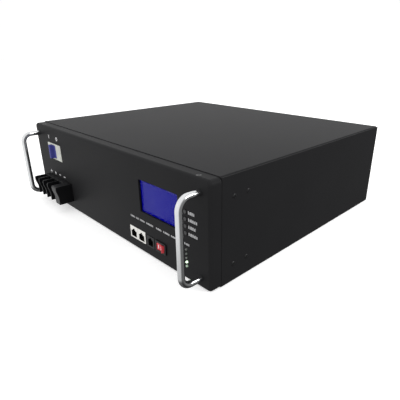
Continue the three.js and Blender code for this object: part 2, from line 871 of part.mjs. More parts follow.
function makePortBoard() {
  const left = jackLeft - portBoardMargin;
  const right = serialJackLeft + serialJackSize + portBoardMargin;
  const top = jackBottom - touchGap;
  const board = block([left, right], [panelBack + 2, portBoardDepth], [top - boardThickness, top]);
  const header = block(
    span((left + right) / 2, portHeaderWidth),
    [portBoardDepth - 9, portBoardDepth - 2],
    [top - 0.2, top + portHeaderHeight],
  );
  return join(board, header);
}

function makeBayDivider() {
  const side = wallInside - touchGap;
  const bottom = floorTop + touchGap + dividerLift;
  const flangeTop = coverTop - coverFlangeDepth - 1;
  const parts = [block([-side, side], [dividerFace, dividerBack], [bottom, dividerTop])];
  for (const sign of [-1, 1]) {
    const across = sign < 0 ? [-side, -side + sheetThickness] : [side - sheetThickness, side];
    parts.push(block(across, [dividerBack - dividerFlange, dividerBack], [bottom, flangeTop]));
  }
  const slots = cableSlotHeights.map((height) => block(
    span(cableSlotX, cableSlotWidth),
    [dividerFace - 1, dividerBack + 1],
    span(height, cableSlotHeight),
  ));
  for (const depth of wallScrewDepths) {
    for (const height of wallScrewHeights) {
      slots.push(prismX(disc(depth, height, wallScrewHole), [-halfWidth, halfWidth], 6));
    }
  }
  const corners = [-1, 1].map((sign) => block(
    sign < 0 ? [-side - 1, -side + 4] : [side - 4, side + 1],
    [dividerFace - 1, dividerBack + 1],
    [flangeTop, dividerTop + 1],
  ));
  return cut(join(...parts), ...slots, ...corners);
}

const managerBack = dividerFace - managerStandOff;
const managerLugX = managerLeft + lugInset;

function makeManagerBoard() {
  const front = managerBack - boardThickness;
  const high = managerBottom + managerHeight;
  const right = managerLeft + managerWidth;
  const board = block([managerLeft, right], [front, managerBack], [managerBottom, high]);
  const lugs = lugHeights.map((height) => block(
    span(managerLugX, 14),
    [front - lugDepth, front + 0.2],
    span(managerBottom + height, 16),
  ));
  const plugs = [0, 1, 2].map((i) => block(
    span(managerLeft + plugInset + i * plugPitch, plugWidth),
    [front - plugDepth, front + 0.2],
    [managerBottom + 4, managerBottom + 12],
  ));
  return join(board, ...lugs, ...plugs);
}

function makeHeatSink() {
  const back = managerBack - boardThickness - touchGap;
  const base = back - sinkBase;
  const across = [sinkLeft, sinkLeft + sinkWidth];
  const parts = [block(across, [base, back], [sinkBottom, sinkBottom + sinkHeight])];
  const pitch = (sinkHeight - sinkFinThickness) / (sinkFinCount - 1);
  for (let i = 0; i < sinkFinCount; i += 1) {
    const z = sinkBottom + i * pitch;
    parts.push(block(across, [base - sinkFin, base + 0.2], [z, z + sinkFinThickness]));
  }
  return join(...parts);
}

// ---------------------------------------------------------------- cells

const cellPitch = cellThickness + cellGap;
const rowPitch = cellLength + rowGap;
const stackWidth = cellColumns * cellPitch - cellGap;
const cellsBottom = floorTop + padThickness + 2 * touchGap;
const cellsTop = cellsBottom + cellHeight;

function cellX(column) {
  return -stackWidth / 2 + cellThickness / 2 + column * cellPitch;
}

function cellY(row) {
  return cellBayDepth + cellLength / 2 + row * rowPitch;
}

function makeCell() {
  const can = roundedRectangle(span(0, cellThickness), span(0, cellLength), cellCorner);
  const poles = [-poleOffset, poleOffset].map((y) => (
    prismZ(disc(0, y, poleDiameter), [cellHeight - 0.5, cellHeight + poleHeight], 4)
  ));
  return join(prismZ(can, [0, cellHeight], 2), ...poles);
}

function makeFloorInsulator() {
  const low = floorTop + touchGap;
  const back = caseDepth - rearFlangeDepth - touchGap;
  return block(span(0, stackWidth), [cellBayDepth + 1, back], [low, low + padThickness]);
}

// An upright plate against the stack with a foot bolted to the floor.
function makeEndPlate(side) {
  const inside = stackWidth / 2 + touchGap;
  const across = (a, b) => [Math.min(side * a, side * b), Math.max(side * a, side * b)];
  const low = floorTop + touchGap;
  const reach = [cellBayDepth + 6, caseDepth - rearFlangeDepth - 4];
  const outside = inside + endPlateThickness;
  const plate = block(across(inside, outside), reach, [low, low + endPlateHeight]);
  const foot = block(across(inside, outside + endPlateFoot), reach, [low, low + endPlateFootThickness]);
  const holes = endPlateHolePlaces.map((share) => {
    const y = reach[0] + share * (reach[1] - reach[0]);
    const hole = disc(side * (outside + endPlateFoot / 2), y, endPlateHole);
    return prismZ(hole, [low - 1, low + endPlateFootThickness + 1], 4);
  });
  return cut(join(plate, foot), ...holes);
}

// A moulded tray over one row, open where the poles come through.
function makeBusbarTray() {
  const top = poleHeight;
  const sheet = block(
    span(0, stackWidth - 2 * trayMargin),
    span(0, cellLength - 2 * trayMargin),
    [touchGap, touchGap + trayThickness],
  );
  const windows = [];
  for (let column = 0; column < cellColumns; column += 1) {
    for (const y of [-poleOffset, poleOffset]) {
      windows.push(block(span(cellX(column), trayWindow), span(y, trayWindow), [-1, top + 1]));
    }
  }
  return cut(sheet, ...windows);
}

// ---------------------------------------------------------------- cables

// Points are chosen by hand along the free space between the pieces.
function makeCable(points) {
  const curve = new THREE.CatmullRomCurve3(points.map(([x, y, z]) => new THREE.Vector3(x, y, z)));
  return rodAlong(curve, cableDiameter, 4, 3 * points.length);
}

const breakerLeftEnd = breakerX - breakerLength / 2;
const breakerRightEnd = breakerX + breakerLength / 2;
const breakerPoleDepth = 38;
const studDepth = terminalRearDepth + 1;
const managerLugFace = managerBack - boardThickness - lugDepth - 1;
const [lowSlot, highSlot] = cableSlotHeights;

const positiveCableRoute = [
  [cellX(0) - 20, cellY(0) - poleOffset, cellsTop + 9],
  [cellX(0) - 40, cellY(0) - poleOffset - 8, cellsTop + 6],
  [cableSlotX + 4, dividerFace + 21, highSlot + 3],
  [cableSlotX, dividerFace, highSlot],
  [breakerLeftEnd - 14, 52, breakerZ + 1],
  [breakerLeftEnd - 12, 40, breakerZ],
  [breakerLeftEnd - 8, breakerPoleDepth, breakerZ],
  [breakerLeftEnd - 0.6, breakerPoleDepth, breakerZ],
];

const breakerCableRoute = [
  [breakerRightEnd + 0.6, breakerPoleDepth, breakerZ],
  [breakerRightEnd + 7, breakerPoleDepth, breakerZ],
  [breakerRightEnd + 13, 40, breakerZ - 15.5],
  [breakerRightEnd + 7, 44, breakerZ - 37.5],
  [terminalX(1) + 24, 44, terminalMiddle + 7],
  [terminalX(1), studDepth + 12, terminalMiddle],
  [terminalX(1), studDepth, terminalMiddle],
];

const packNegativeRoute = [
  [managerLugX, managerLugFace, managerBottom + lugHeights[0]],
  [managerLugX, managerLugFace - 8, managerBottom + lugHeights[0]],
  [managerLugX - 20, 42, 26],
  [terminalX(3), studDepth + 10, terminalMiddle],
  [terminalX(3), studDepth, terminalMiddle],
];

const cellNegativeRoute = [
  [cellX(0) - 20, cellY(1) + poleOffset, cellsTop + 9],
  [cellX(0) - 42, cellY(1) + poleOffset - 6, cellsTop + 4],
  [cableSlotX + 6, cellY(1) + 30, 80],
  [cableSlotX + 4, cellY(1) - 30, 50],
  [cableSlotX + 3, cellY(0) + 20, 36],
  [cableSlotX + 2, dividerFace + 26, lowSlot],
  [cableSlotX + 2, dividerFace + 1, lowSlot],
  [breakerX - 35.5, dividerFace - 13, lowSlot],
  [breakerX + 2.5, dividerFace - 16, lowSlot - 1],
  [managerLugX - 32, dividerFace - 18, lowSlot + 3],
  [managerLugX - 10, dividerFace - 22, lowSlot + 19],
  [managerLugX, managerLugFace - 8, managerBottom + lugHeights[1]],
  [managerLugX, managerLugFace, managerBottom + lugHeights[1]],
];

// ---------------------------------------------------------------- assembly

const pack = new THREE.Group();
const body = new THREE.Group(); // Y counted back from the panel's face
body.position.set(0, -caseDepth / 2, 0);
pack.add(body);

addPart(body, 'front_panel', makeFrontPanel(), powderCoat);
addPart(body, 'chassis_tray', makeTray(), powderCoat);
addPart(body, 'top_cover', makeTopCover(), powderCoat);
addPart(body, 'rear_panel', makeRearPanel(), powderCoat);
addPart(body, 'handle_left', makeHandle(), polishedSteel, [-handleX, 0, handleHeight]);
addPart(body, 'handle_right', makeHandle(), polishedSteel, [handleX, 0, handleHeight]);

const leverPivot = [breakerX + leverOffset, leverPivotDepth, breakerZ];
addPart(body, 'breaker_body', makeBreakerBody(), breakerPlastic, [breakerX, 0, breakerZ]);
addPart(body, 'breaker_lever', makeBreakerLever(), leverPlastic, leverPivot);
addPart(body, 'breaker_rail', makeBreakerRail(), zincSteel, [breakerX, 0, 0]);

addPart(body, 'terminal_block', makeTerminalBlock(), blackPlastic);
for (let i = 0; i < terminalCount; i += 1) {
  const place = [terminalX(i), boltFace - touchGap, terminalMiddle];
  addPart(body, `terminal_bolt_${i + 1}`, makeTerminalBolt(), zincSteel, place);
}

addPart(body, 'display_window', makeDisplayWindow(), clearAcrylic, [displayX, 0, displayZ]);
addPart(body, 'display_module', makeDisplayModule(), displayBlue, [displayX, 0, displayZ]);

const shieldedJack = () => makeJack(jackSize, jackSocketWidth);
addPart(body, 'data_jack_left', shieldedJack(), jackShield, [jackLeft, 0, jackBottom]);
const secondJackLeft = jackLeft + jackSize + touchGap;
addPart(body, 'data_jack_right', shieldedJack(), jackShield, [secondJackLeft, 0, jackBottom]);
const serialJack = makeJack(serialJackSize, serialSocketWidth);
addPart(body, 'serial_jack', serialJack, blackPlastic, [serialJackLeft, 0, jackBottom]);

addPart(body, 'rocker_housing', makeRockerHousing(), blackPlastic, [rockerX, 0, rockerZ]);
addPart(body, 'rocker_button', makeRockerButton(), rockerRed, [rockerX, rockerPivotDepth, rockerZ]);

for (let i = 0; i < buttonCount; i += 1) {
  addPart(body, `menu_button_${i + 1}`, makeMenuButton(), buttonGrey, [keyColumnX, 0, buttonHeight(i)]);
}
for (let i = 0; i < lampCount; i += 1) {
  addPart(body, `status_lamp_${i + 1}`, makeStatusLamp(), lampClear, [keyColumnX, 0, lampHeight(i)]);
}

addPart(body, 'key_board', makeKeyBoard(), circuitGreen);
addPart(body, 'port_board', makePortBoard(), circuitGreen);
addPart(body, 'bay_divider', makeBayDivider(), zincSteel);
addPart(body, 'manager_board', makeManagerBoard(), circuitGreen);
addPart(body, 'manager_heat_sink', makeHeatSink(), bareAluminium);

addPart(body, 'floor_insulator', makeFloorInsulator(), glassFibre);
for (let row = 0; row < cellRows; row += 1) {
  for (let column = 0; column < cellColumns; column += 1) {
    const number = String(row * cellColumns + column + 1).padStart(2, '0');
    addPart(body, `cell_${number}`, makeCell(), cellFilm, [cellX(column), cellY(row), cellsBottom]);
  }
  addPart(body, `busbar_tray_${row + 1}`, makeBusbarTray(), trayPlastic, [0, cellY(row), cellsTop]);
}
addPart(body, 'end_plate_left', makeEndPlate(-1), bareAluminium);
addPart(body, 'end_plate_right', makeEndPlate(1), bareAluminium);

addPart(body, 'positive_cable', makeCable(positiveCableRoute), redSleeve);
addPart(body, 'breaker_cable', makeCable(breakerCableRoute), redSleeve);
addPart(body, 'pack_negative_cable', makeCable(packNegativeRoute), blackSleeve);
addPart(body, 'cell_negative_cable', makeCable(cellNegativeRoute), blackSleeve);

export default pack;
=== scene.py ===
import json
import math

import bmesh
import bpy
from mathutils import Matrix, Vector


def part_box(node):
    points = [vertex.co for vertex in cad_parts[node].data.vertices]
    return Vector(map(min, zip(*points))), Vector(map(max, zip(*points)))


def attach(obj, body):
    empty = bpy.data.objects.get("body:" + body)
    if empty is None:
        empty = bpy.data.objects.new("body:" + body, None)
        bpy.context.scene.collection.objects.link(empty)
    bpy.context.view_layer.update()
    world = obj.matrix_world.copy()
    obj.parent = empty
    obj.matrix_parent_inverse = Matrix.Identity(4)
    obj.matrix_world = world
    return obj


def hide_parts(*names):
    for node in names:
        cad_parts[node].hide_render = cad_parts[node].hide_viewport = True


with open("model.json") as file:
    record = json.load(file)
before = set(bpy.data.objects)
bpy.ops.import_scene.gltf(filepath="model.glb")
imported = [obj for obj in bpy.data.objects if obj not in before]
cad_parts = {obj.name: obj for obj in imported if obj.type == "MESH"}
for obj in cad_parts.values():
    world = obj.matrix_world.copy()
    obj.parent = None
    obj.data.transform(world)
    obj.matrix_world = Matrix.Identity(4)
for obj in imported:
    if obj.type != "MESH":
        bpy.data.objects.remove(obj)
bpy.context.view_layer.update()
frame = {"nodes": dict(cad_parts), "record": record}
nodes = frame["nodes"]
print("frame loaded:", len(nodes), "nodes")

# Meshes are drawn in millimetres and brought to metres when a piece is made.
toMetres = 0.001


def corners(node):
    low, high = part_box(node)
    return low / toMetres, high / toMetres


def middle(node):
    low, high = corners(node)
    return (low + high) / 2


# Picks edges that run along an axis.
def runs(axis):
    index = "xyz".index(axis)

    def pick(edge):
        step = edge.verts[1].co - edge.verts[0].co
        return abs(step[index]) > 0.999 * step.length

    return pick


# Picks edges that lie at a value of an axis.
def lies(axis, value):
    index = "xyz".index(axis)
    return lambda edge: all(abs(vert.co[index] - value) < 0.01 for vert in edge.verts)


# A block between two opposite corners.
def blockMesh(first, second):
    low = Vector([min(pair) for pair in zip(first, second)])
    high = Vector([max(pair) for pair in zip(first, second)])
    bm = bmesh.new()
    bmesh.ops.create_cube(bm, size=1)
    bmesh.ops.scale(bm, vec=high - low, verts=bm.verts)
    bmesh.ops.translate(bm, vec=(low + high) / 2, verts=bm.verts)
    return bm


def towards(direction):
    return Vector(direction).to_track_quat("Z", "Y").to_matrix().to_4x4()


def rodMesh(start, end, radius, endRadius=None, sides=32):
    start, end = Vector(start), Vector(end)
    bm = bmesh.new()
    bmesh.ops.create_cone(
        bm,
        cap_ends=True,
        segments=sides,
        radius1=radius,
        radius2=radius if endRadius is None else endRadius,
        depth=(end - start).length,
        matrix=Matrix.Translation((start + end) / 2) @ towards(end - start),
    )
    return bm


# A round mesh from radius and height points, with its foot at origin and its axis along direction.
def turnedMesh(profile, origin, direction, steps=32, closed=False):
    bm = bmesh.new()
    verts = [bm.verts.new((radius, 0, height)) for radius, height in profile]
    ends = verts[1:] + verts[:1] if closed else verts[1:]
    edges = [bm.edges.new(pair) for pair in zip(verts, ends)]
    bmesh.ops.spin(
        bm,
        geom=verts + edges,
        cent=(0, 0, 0),
        axis=(0, 0, 1),
        angle=2 * math.pi,
        steps=steps,
        use_merge=True,
    )
    bmesh.ops.remove_doubles(bm, verts=bm.verts, dist=1e-4)
    bmesh.ops.recalc_face_normals(bm, faces=bm.faces)
    bmesh.ops.transform(bm, matrix=Matrix.Translation(origin) @ towards(direction), verts=bm.verts)
    return bm


# An outline in the two other axes, drawn out along the named one.
def prismMesh(points, axis, start, end):
    index = "xyz".index(axis)
    bm = bmesh.new()
    verts = []
    for a, b in points:
        place = [a, b]
        place.insert(index, start)
        verts.append(bm.verts.new(place))
    bm.faces.new(verts)
    grown = bmesh.ops.extrude_face_region(bm, geom=bm.faces[:])
    shift = Vector((0, 0, 0))
    shift[index] = end - start
    far = [part for part in grown["geom"] if isinstance(part, bmesh.types.BMVert)]
    bmesh.ops.translate(bm, vec=shift, verts=far)
    bmesh.ops.recalc_face_normals(bm, faces=bm.faces)
    return bm


def roundEdges(bm, width, segments=3, pick=None, angle=30):
    edges = [
        edge
        for edge in bm.edges
        if len(edge.link_faces) == 2
        and edge.calc_face_angle(0) > math.radians(angle)
        and (pick is None or pick(edge))
    ]
    bmesh.ops.bevel(
        bm,
        geom=edges,
        offset=width,
        offset_type="OFFSET",
        affect="EDGES",
        segments=segments,
        profile=0.5,
        material=-1,
        clamp_overlap=True,
    )
    return bm


# Opens a closed shape on the named sides and gives what is left a wall, inwards.
def openShell(bm, sides, thickness):
    gone = []
    for side in sides:
        index = "xyz".index(side[1])
        sign = 1 if side[0] == "+" else -1
        gone += [face for face in bm.faces if face.normal[index] * sign > 0.999]
    bmesh.ops.delete(bm, geom=gone, context="FACES")
    bmesh.ops.solidify(bm, geom=bm.faces[:], thickness=thickness)
    return bm


def moved(bm, offset=(0, 0, 0), turn=None, about=(0, 0, 0)):
    if turn is not None:
        angle, axis = turn
        matrix = Matrix.Rotation(math.radians(angle), 3, axis)
        bmesh.ops.rotate(bm, cent=about, matrix=matrix, verts=bm.verts)
    bmesh.ops.translate(bm, vec=offset, verts=bm.verts)
    return bm


# Several meshes as one, uncut.
def together(parts):
    whole = bmesh.new()
    for part in parts:
        mesh = bpy.data.meshes.new("part")
        part.to_mesh(mesh)
        part.free()
        whole.from_mesh(mesh)
        bpy.data.meshes.remove(mesh)
    return whole


def objectFrom(bm, name):
    mesh = bpy.data.meshes.new(name)
    bm.to_mesh(mesh)
    bm.free()
    made = bpy.data.objects.new(name, mesh)
    bpy.context.scene.collection.objects.link(made)
    return made


# Joins or cuts solids one after another.
def worked(base, tools, operation="DIFFERENCE"):
    target = objectFrom(base, "work")
    helpers = [objectFrom(tool, "tool") for tool in tools]
    for helper in helpers:
        modifier = target.modifiers.new("work", "BOOLEAN")
        modifier.operation = operation
        modifier.solver = "EXACT"
        modifier.object = helper
    view = bpy.context.evaluated_depsgraph_get()
    mesh = bpy.data.meshes.new_from_object(target.evaluated_get(view))
    result = bmesh.new()
    result.from_mesh(mesh)
    bpy.data.meshes.remove(mesh)
    for helper in [target, *helpers]:
        data = helper.data
        bpy.data.objects.remove(helper)
        bpy.data.meshes.remove(data)
    bmesh.ops.dissolve_degenerate(result, dist=1e-4, edges=result.edges)
    return result


def joined(base, *tools):
    return worked(base, tools, "UNION")


def piece(name, bm, finish, body="root", replaces=(), smooth=32, weighted=True):
    bmesh.ops.scale(bm, vec=(toMetres, toMetres, toMetres), verts=bm.verts)
    made = objectFrom(bm, name)
    made.data.materials.append(finish.material)
    made.data.shade_smooth()
    made.data.set_sharp_from_angle(angle=math.radians(smooth))
    if weighted:
        normals = made.modifiers.new("normals", "WEIGHTED_NORMAL")
        normals.keep_sharp = True
    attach(made, body)
    if replaces:
        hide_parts(*replaces)
    return made


def arc(centre, radius, start, end, steps):
    turn = [math.radians(start + (end - start) * i / steps) for i in range(steps + 1)]
    return [(centre[0] + radius * math.cos(a), centre[1] + radius * math.sin(a)) for a in turn]


# The studio: camera, sky, floor, backdrop and soft lights.

studio = {
    "cameraPlace": (0.46537, -0.42784, 0.25123),
    "cameraTurn": (68.17, 0.0, 44.92),
    "lens": 33.35,
    "shift": (-0.0435, -0.0068),
    "floorHalf": 9.0,
    "backdropRadius": 14.0,
    "floorColor": (0.9, 0.9, 0.9),
    "floorGlow": 0.45,
    "brightSky": 1.08,
    "dimSky": 0.22,
    "skyTurn": 80.0,  # from where the camera looks, to its left
    "skyLift": 0.35,
    "skyFade": (-0.7, -0.2),
    "underSky": 0.12,
    "underFade": (-0.8, -0.4),
    "softboxes": {
        "topLight": {"place": (-0.5, 0.5, 2.0), "aim": (0, 0, 0), "size": (2.4, 2.4), "power": 1.0},
        "frontLight": {"place": (-0.5, -2.2, 1.1), "aim": (0, -0.2, 0.05), "size": (1.6, 1.0), "power": 0.6},
        "sideLight": {"place": (2.2, 1.0, 1.2), "aim": (0.22, 0.1, 0.1), "size": (1.2, 1.0), "power": 34.0},
    },
}


# A socket that can be used in sums.
class Flow:
    def __init__(self, graph, socket):
        self.graph = graph
        self.socket = socket

    def sum(self, operation, first, second):
        made = self.graph.node("ShaderNodeMath", {"operation": operation}, {0: first, 1: second})
        return Flow(self.graph, made.outputs[0])

    def __add__(self, other):
        return self.sum("ADD", self, other)

    def __radd__(self, other):
        return self.sum("ADD", other, self)

    def __sub__(self, other):
        return self.sum("SUBTRACT", self, other)

    def __rsub__(self, other):
        return self.sum("SUBTRACT", other, self)

    def __mul__(self, other):
        return self.sum("MULTIPLY", self, other)

    def __rmul__(self, other):
        return self.sum("MULTIPLY", other, self)

    def __truediv__(self, other):
        return self.sum("DIVIDE", self, other)

    def __rtruediv__(self, other):
        return self.sum("DIVIDE", other, self)

    def __gt__(self, other):
        return self.sum("GREATER_THAN", self, other)

    def __lt__(self, other):
        return self.sum("LESS_THAN", self, other)


# The nodes of one material or of the sky.
class Graph:
    def __init__(self, tree):
        self.tree = tree

    def node(self, kind, settings=None, inputs=None):
        made = self.tree.nodes.new(kind)
        for key, value in (settings or {}).items():
            setattr(made, key, value)
        for key, value in (inputs or {}).items():
            if isinstance(value, Flow):
                self.tree.links.new(value.socket, made.inputs[key])
            else:
                made.inputs[key].default_value = value
        return made

    def stretch(self, factor, low, high, newLow=0.0, newHigh=1.0):
        made = self.node(
            "ShaderNodeMapRange",
            {"clamp": True},
            {"Value": factor, "From Min": low, "From Max": high, "To Min": newLow, "To Max": newHigh},
        )
        return Flow(self, made.outputs[0])


# A material; sizes of its patterns are in millimetres.
class Finish(Graph):
    def __init__(self, name, color, roughness, metallic=0.0, **shaderValues):
        self.material = bpy.data.materials.new(name)
        self.material.use_nodes = True
        super().__init__(self.material.node_tree)
        self.shader = next(n for n in self.tree.nodes if n.type == "BSDF_PRINCIPLED")
        self.feed("Base Color", (*color, 1))
        self.feed("Roughness", roughness)
        self.feed("Metallic", metallic)
        for key, value in shaderValues.items():
            self.feed(key.replace("_", " "), value)
        self.place = Flow(self, self.node("ShaderNodeTexCoord").outputs["Object"])

    def feed(self, socket, value):
        if isinstance(value, Flow):
            self.tree.links.new(value.socket, self.shader.inputs[socket])
        else:
            self.shader.inputs[socket].default_value = value

    def mapped(self, scale):
        made = self.node("ShaderNodeMapping", None, {"Vector": self.place, "Scale": scale})
        return Flow(self, made.outputs[0])

    def noise(self, size, detail=2.0, scale=(1, 1, 1)):
        made = self.node(
            "ShaderNodeTexNoise",
            None,
            {
                "Vector": self.place if scale == (1, 1, 1) else self.mapped(scale),
                "Scale": 1 / (size * toMetres),
                "Detail": detail,
            },
        )
        return Flow(self, made.outputs["Fac"])

    def blend(self, factor, first, second):
        sockets = {0: factor, 6: first, 7: second}
        for key in (6, 7):
            if not isinstance(sockets[key], Flow):
                sockets[key] = (*sockets[key], 1)
        made = self.node("ShaderNodeMix", {"data_type": "RGBA"}, sockets)
        return Flow(self, made.outputs[2])

    def split(self):
        made = self.node("ShaderNodeSeparateXYZ", None, {0: self.place})
        return [Flow(self, socket) for socket in made.outputs]

    def bump(self, height, depth, strength=1.0):
        made = self.node(
            "ShaderNodeBump", None, {"Height": height, "Distance": depth * toMetres, "Strength": strength}
        )
        self.feed("Normal", Flow(self, made.outputs[0]))


# A piece of the studio that shows white behind the object but doesn't light it.
def stageSheet(name, bm, surface):
    made = objectFrom(bm, name)
    made.data.materials.append(surface.material)
    made.visible_diffuse = False
    made.visible_glossy = False
    return made


def makeFloor():
    bm = bmesh.new()
    bmesh.ops.create_grid(bm, x_segments=1, y_segments=1, size=studio["floorHalf"])
    surface = Finish(
        "floor",
        studio["floorColor"],
        0.9,
        Specular_IOR_Level=0.1,
        Emission_Color=(1, 1, 1, 1),
        Emission_Strength=studio["floorGlow"],
    )
    stageSheet("floor", bm, surface)


def makeBackdrop():
    bm = bmesh.new()
    bmesh.ops.create_uvsphere(bm, u_segments=32, v_segments=16, radius=studio["backdropRadius"])
    surface = Finish("backdrop", (0, 0, 0), 1.0, Emission_Color=(1, 1, 1, 1), Emission_Strength=1.0)
    stageSheet("backdrop", bm, surface).visible_shadow = False


def makeCamera():
    camera = bpy.data.objects.new("camera", bpy.data.cameras.new("camera"))
    camera.location = studio["cameraPlace"]
    camera.rotation_euler = [math.radians(angle) for angle in studio["cameraTurn"]]
    camera.data.lens = studio["lens"]
    camera.data.shift_x, camera.data.shift_y = studio["shift"]
    bpy.context.scene.collection.objects.link(camera)
    bpy.context.scene.camera = camera


# The sky is bright all round but on the camera's right, and dim straight below.
def makeSky():
    world = bpy.data.worlds.new("studio")
    bpy.context.scene.world = world
    world.use_nodes = True
    graph = Graph(world.node_tree)
    direction = Flow(graph, graph.node("ShaderNodeTexCoord").outputs["Generated"])
    heading = math.radians(studio["cameraTurn"][2] + studio["skyTurn"])
    ahead = graph.node(
        "ShaderNodeVectorMath",
        {"operation": "DOT_PRODUCT"},
        {0: direction, 1: (-math.sin(heading), math.cos(heading), studio["skyLift"])},
    )
    facing = Flow(graph, ahead.outputs["Value"])
    level = graph.stretch(facing, *studio["skyFade"], studio["dimSky"], studio["brightSky"])
    height = Flow(graph, graph.node("ShaderNodeSeparateXYZ", None, {0: direction}).outputs[2])
    under = graph.stretch(height, *studio["underFade"], studio["underSky"], 1.0)
    background = next(n for n in graph.tree.nodes if n.type == "BACKGROUND")
    graph.tree.links.new((level * under).socket, background.inputs["Color"])


def makeSoftbox(name, place, aim, size, power):
    light = bpy.data.objects.new(name, bpy.data.lights.new(name, "AREA"))
    light.data.shape = "RECTANGLE"
    light.data.size, light.data.size_y = size
    light.data.energy = power
    light.location = place
    light.rotation_euler = (Vector(aim) - Vector(place)).to_track_quat("-Z", "Y").to_euler()
    bpy.context.scene.collection.objects.link(light)


def makeStudio():
    bpy.context.scene.view_settings.view_transform = "Standard"
    makeCamera()
    makeSky()
    makeFloor()
    makeBackdrop()
    for name, box in studio["softboxes"].items():
        makeSoftbox(name, **box)


makeStudio()
print("studio made")


# Finishes, from paint to glass.


def powderCoatFinish():
    look = Finish("powderCoat", (0.019, 0.019, 0.020), 0.5, Specular_IOR_Level=0.042)
    broad = look.noise(60, 2)
    fine = look.noise(0.9, 2)
    specks = look.noise(0.35, 1)
    look.feed("Base Color", look.blend(broad, (0.0175, 0.0175, 0.0185), (0.0205, 0.0205, 0.0215)))
    look.feed("Roughness", look.stretch(fine, 0.3, 0.7, 0.42, 0.56))
    look.bump(fine * 0.7 + specks * 0.3, 0.035, 0.55)
    return look


def plasticFinish(name, color, deeper, roughness, grain=0.5, depth=0.02, **more):
    look = Finish(name, color, roughness, **more)
    fine = look.noise(grain, 2)
    look.feed("Base Color", look.blend(look.noise(14, 3), deeper, color))
    look.feed("Roughness", look.stretch(fine, 0.3, 0.7, roughness - 0.05, roughness + 0.06))
    look.bump(fine, depth, 0.5)
    return look


def metalFinish(name, color, roughness, streak=(1, 1, 1), grain=1.2, depth=0.006, spread=0.06):
    look = Finish(name, color, roughness, 1.0)
    lines = look.noise(grain, 3, streak)
    dull = look.noise(22, 3)
    shade = tuple(0.86 * c for c in color)
    look.feed("Base Color", look.blend(dull, shade, color))
    look.feed("Roughness", look.stretch(lines, 0.25, 0.75, roughness - spread, roughness + spread))
    look.bump(lines, depth, 0.4)
    return look


# Solder mask with tracks that run along two axes.
def boardFinish(name, across, up):
    look = Finish(name, (0.010, 0.075, 0.030), 0.32, Coat_Weight=0.4, Coat_Roughness=0.15)
    wander = look.noise(9, 1)
    tracks = []
    for axis, patchSize in ((across, 16), (up, 11)):
        bands = look.node(
            "ShaderNodeTexWave",
            {"wave_type": "BANDS", "bands_direction": axis},
            {"Vector": look.place, "Scale": 110.0, "Distortion": 0.0},
        )
        lines = Flow(look, bands.outputs["Fac"]) > 0.72
        tracks.append(lines * (look.noise(patchSize, 0.5) > 0.52))
    mask = look.stretch(tracks[0] + tracks[1], 0, 1)
    look.feed("Base Color", look.blend(mask, (0.008, 0.062, 0.025), (0.022, 0.14, 0.055)))
    look.feed("Roughness", look.stretch(wander, 0.3, 0.7, 0.26, 0.38))
    look.bump(mask, 0.03, 0.6)
    return look


def filmFinish():
    look = Finish("cellFilm", (0.018, 0.085, 0.33), 0.24, Coat_Weight=0.5, Coat_Roughness=0.12)
    wrinkles = look.noise(7, 3, (1, 1, 0.25))
    look.feed("Base Color", look.blend(look.noise(40, 2), (0.014, 0.07, 0.28), (0.022, 0.10, 0.38)))
    look.feed("Roughness", look.stretch(wrinkles, 0.3, 0.7, 0.18, 0.34))
    look.bump(wrinkles, 0.12, 0.35)
    return look


def weaveFinish():
    look = Finish("glassFibre", (0.34, 0.40, 0.24), 0.5)
    threads = []
    for axis in ("X", "Y"):
        bands = look.node(
            "ShaderNodeTexWave",
            {"wave_type": "BANDS", "bands_direction": axis},
            {"Vector": look.place, "Scale": 160.0, "Distortion": 0.0},
        )
        threads.append(Flow(look, bands.outputs["Fac"]))
    weave = threads[0] * threads[1]
    look.feed("Base Color", look.blend(weave, (0.28, 0.34, 0.20), (0.40, 0.46, 0.30)))
    look.feed("Roughness", look.stretch(weave, 0, 1, 0.42, 0.58))
    look.bump(weave, 0.05, 0.6)
    return look


def displayFinish():
    look = Finish("displayGlass", (0.001, 0.001, 0.02), 0.3, Specular_IOR_Level=0.02, Emission_Strength=1.0)
    across, up = look.split()[::2]
    low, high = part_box("display_window")
    centre = (low + high) / 2
    # The light fades a little from the middle of the glass towards its corners.
    aside = (across - centre.x) / (high.x - low.x)
    above = (up - centre.z) / (high.z - low.z)
    fade = look.stretch(aside * aside + above * above, 0.0, 0.45, 1.0, 0.82)
    dots = look.node(
        "ShaderNodeTexVoronoi",
        {"distance": "CHEBYCHEV"},
        {"Vector": look.place, "Scale": 1500.0},
    )
    grid = look.stretch(Flow(look, dots.outputs["Distance"]), 0.2, 0.7, 1.0, 0.93)
    look.feed("Emission Color", look.blend(fade * grid, (0.0, 0.0, 0.02), (0.0, 0.0, 0.23)))
    return look


def lampFinish(name, glow, strength):
    look = Finish(
        name,
        (0.30, 0.32, 0.30),
        0.12,
        Transmission_Weight=0.55,
        IOR=1.5,
        Emission_Strength=strength,
    )
    core = look.noise(1.2, 1)
    dim = tuple(0.8 * c for c in glow)
    look.feed("Emission Color", look.blend(core, dim, glow))
    look.feed("Roughness", look.stretch(core, 0.3, 0.7, 0.08, 0.2))
    return look


def windowFinish():
    look = Finish(
        "windowAcrylic",
        (0.96, 0.96, 1.0),
        0.03,
        Transmission_Weight=1.0,
        IOR=1.12,
        Specular_IOR_Level=0.25,
    )
    haze = look.noise(9, 2)
    look.feed("Roughness", look.stretch(haze, 0.3, 0.7, 0.015, 0.05))
    return look


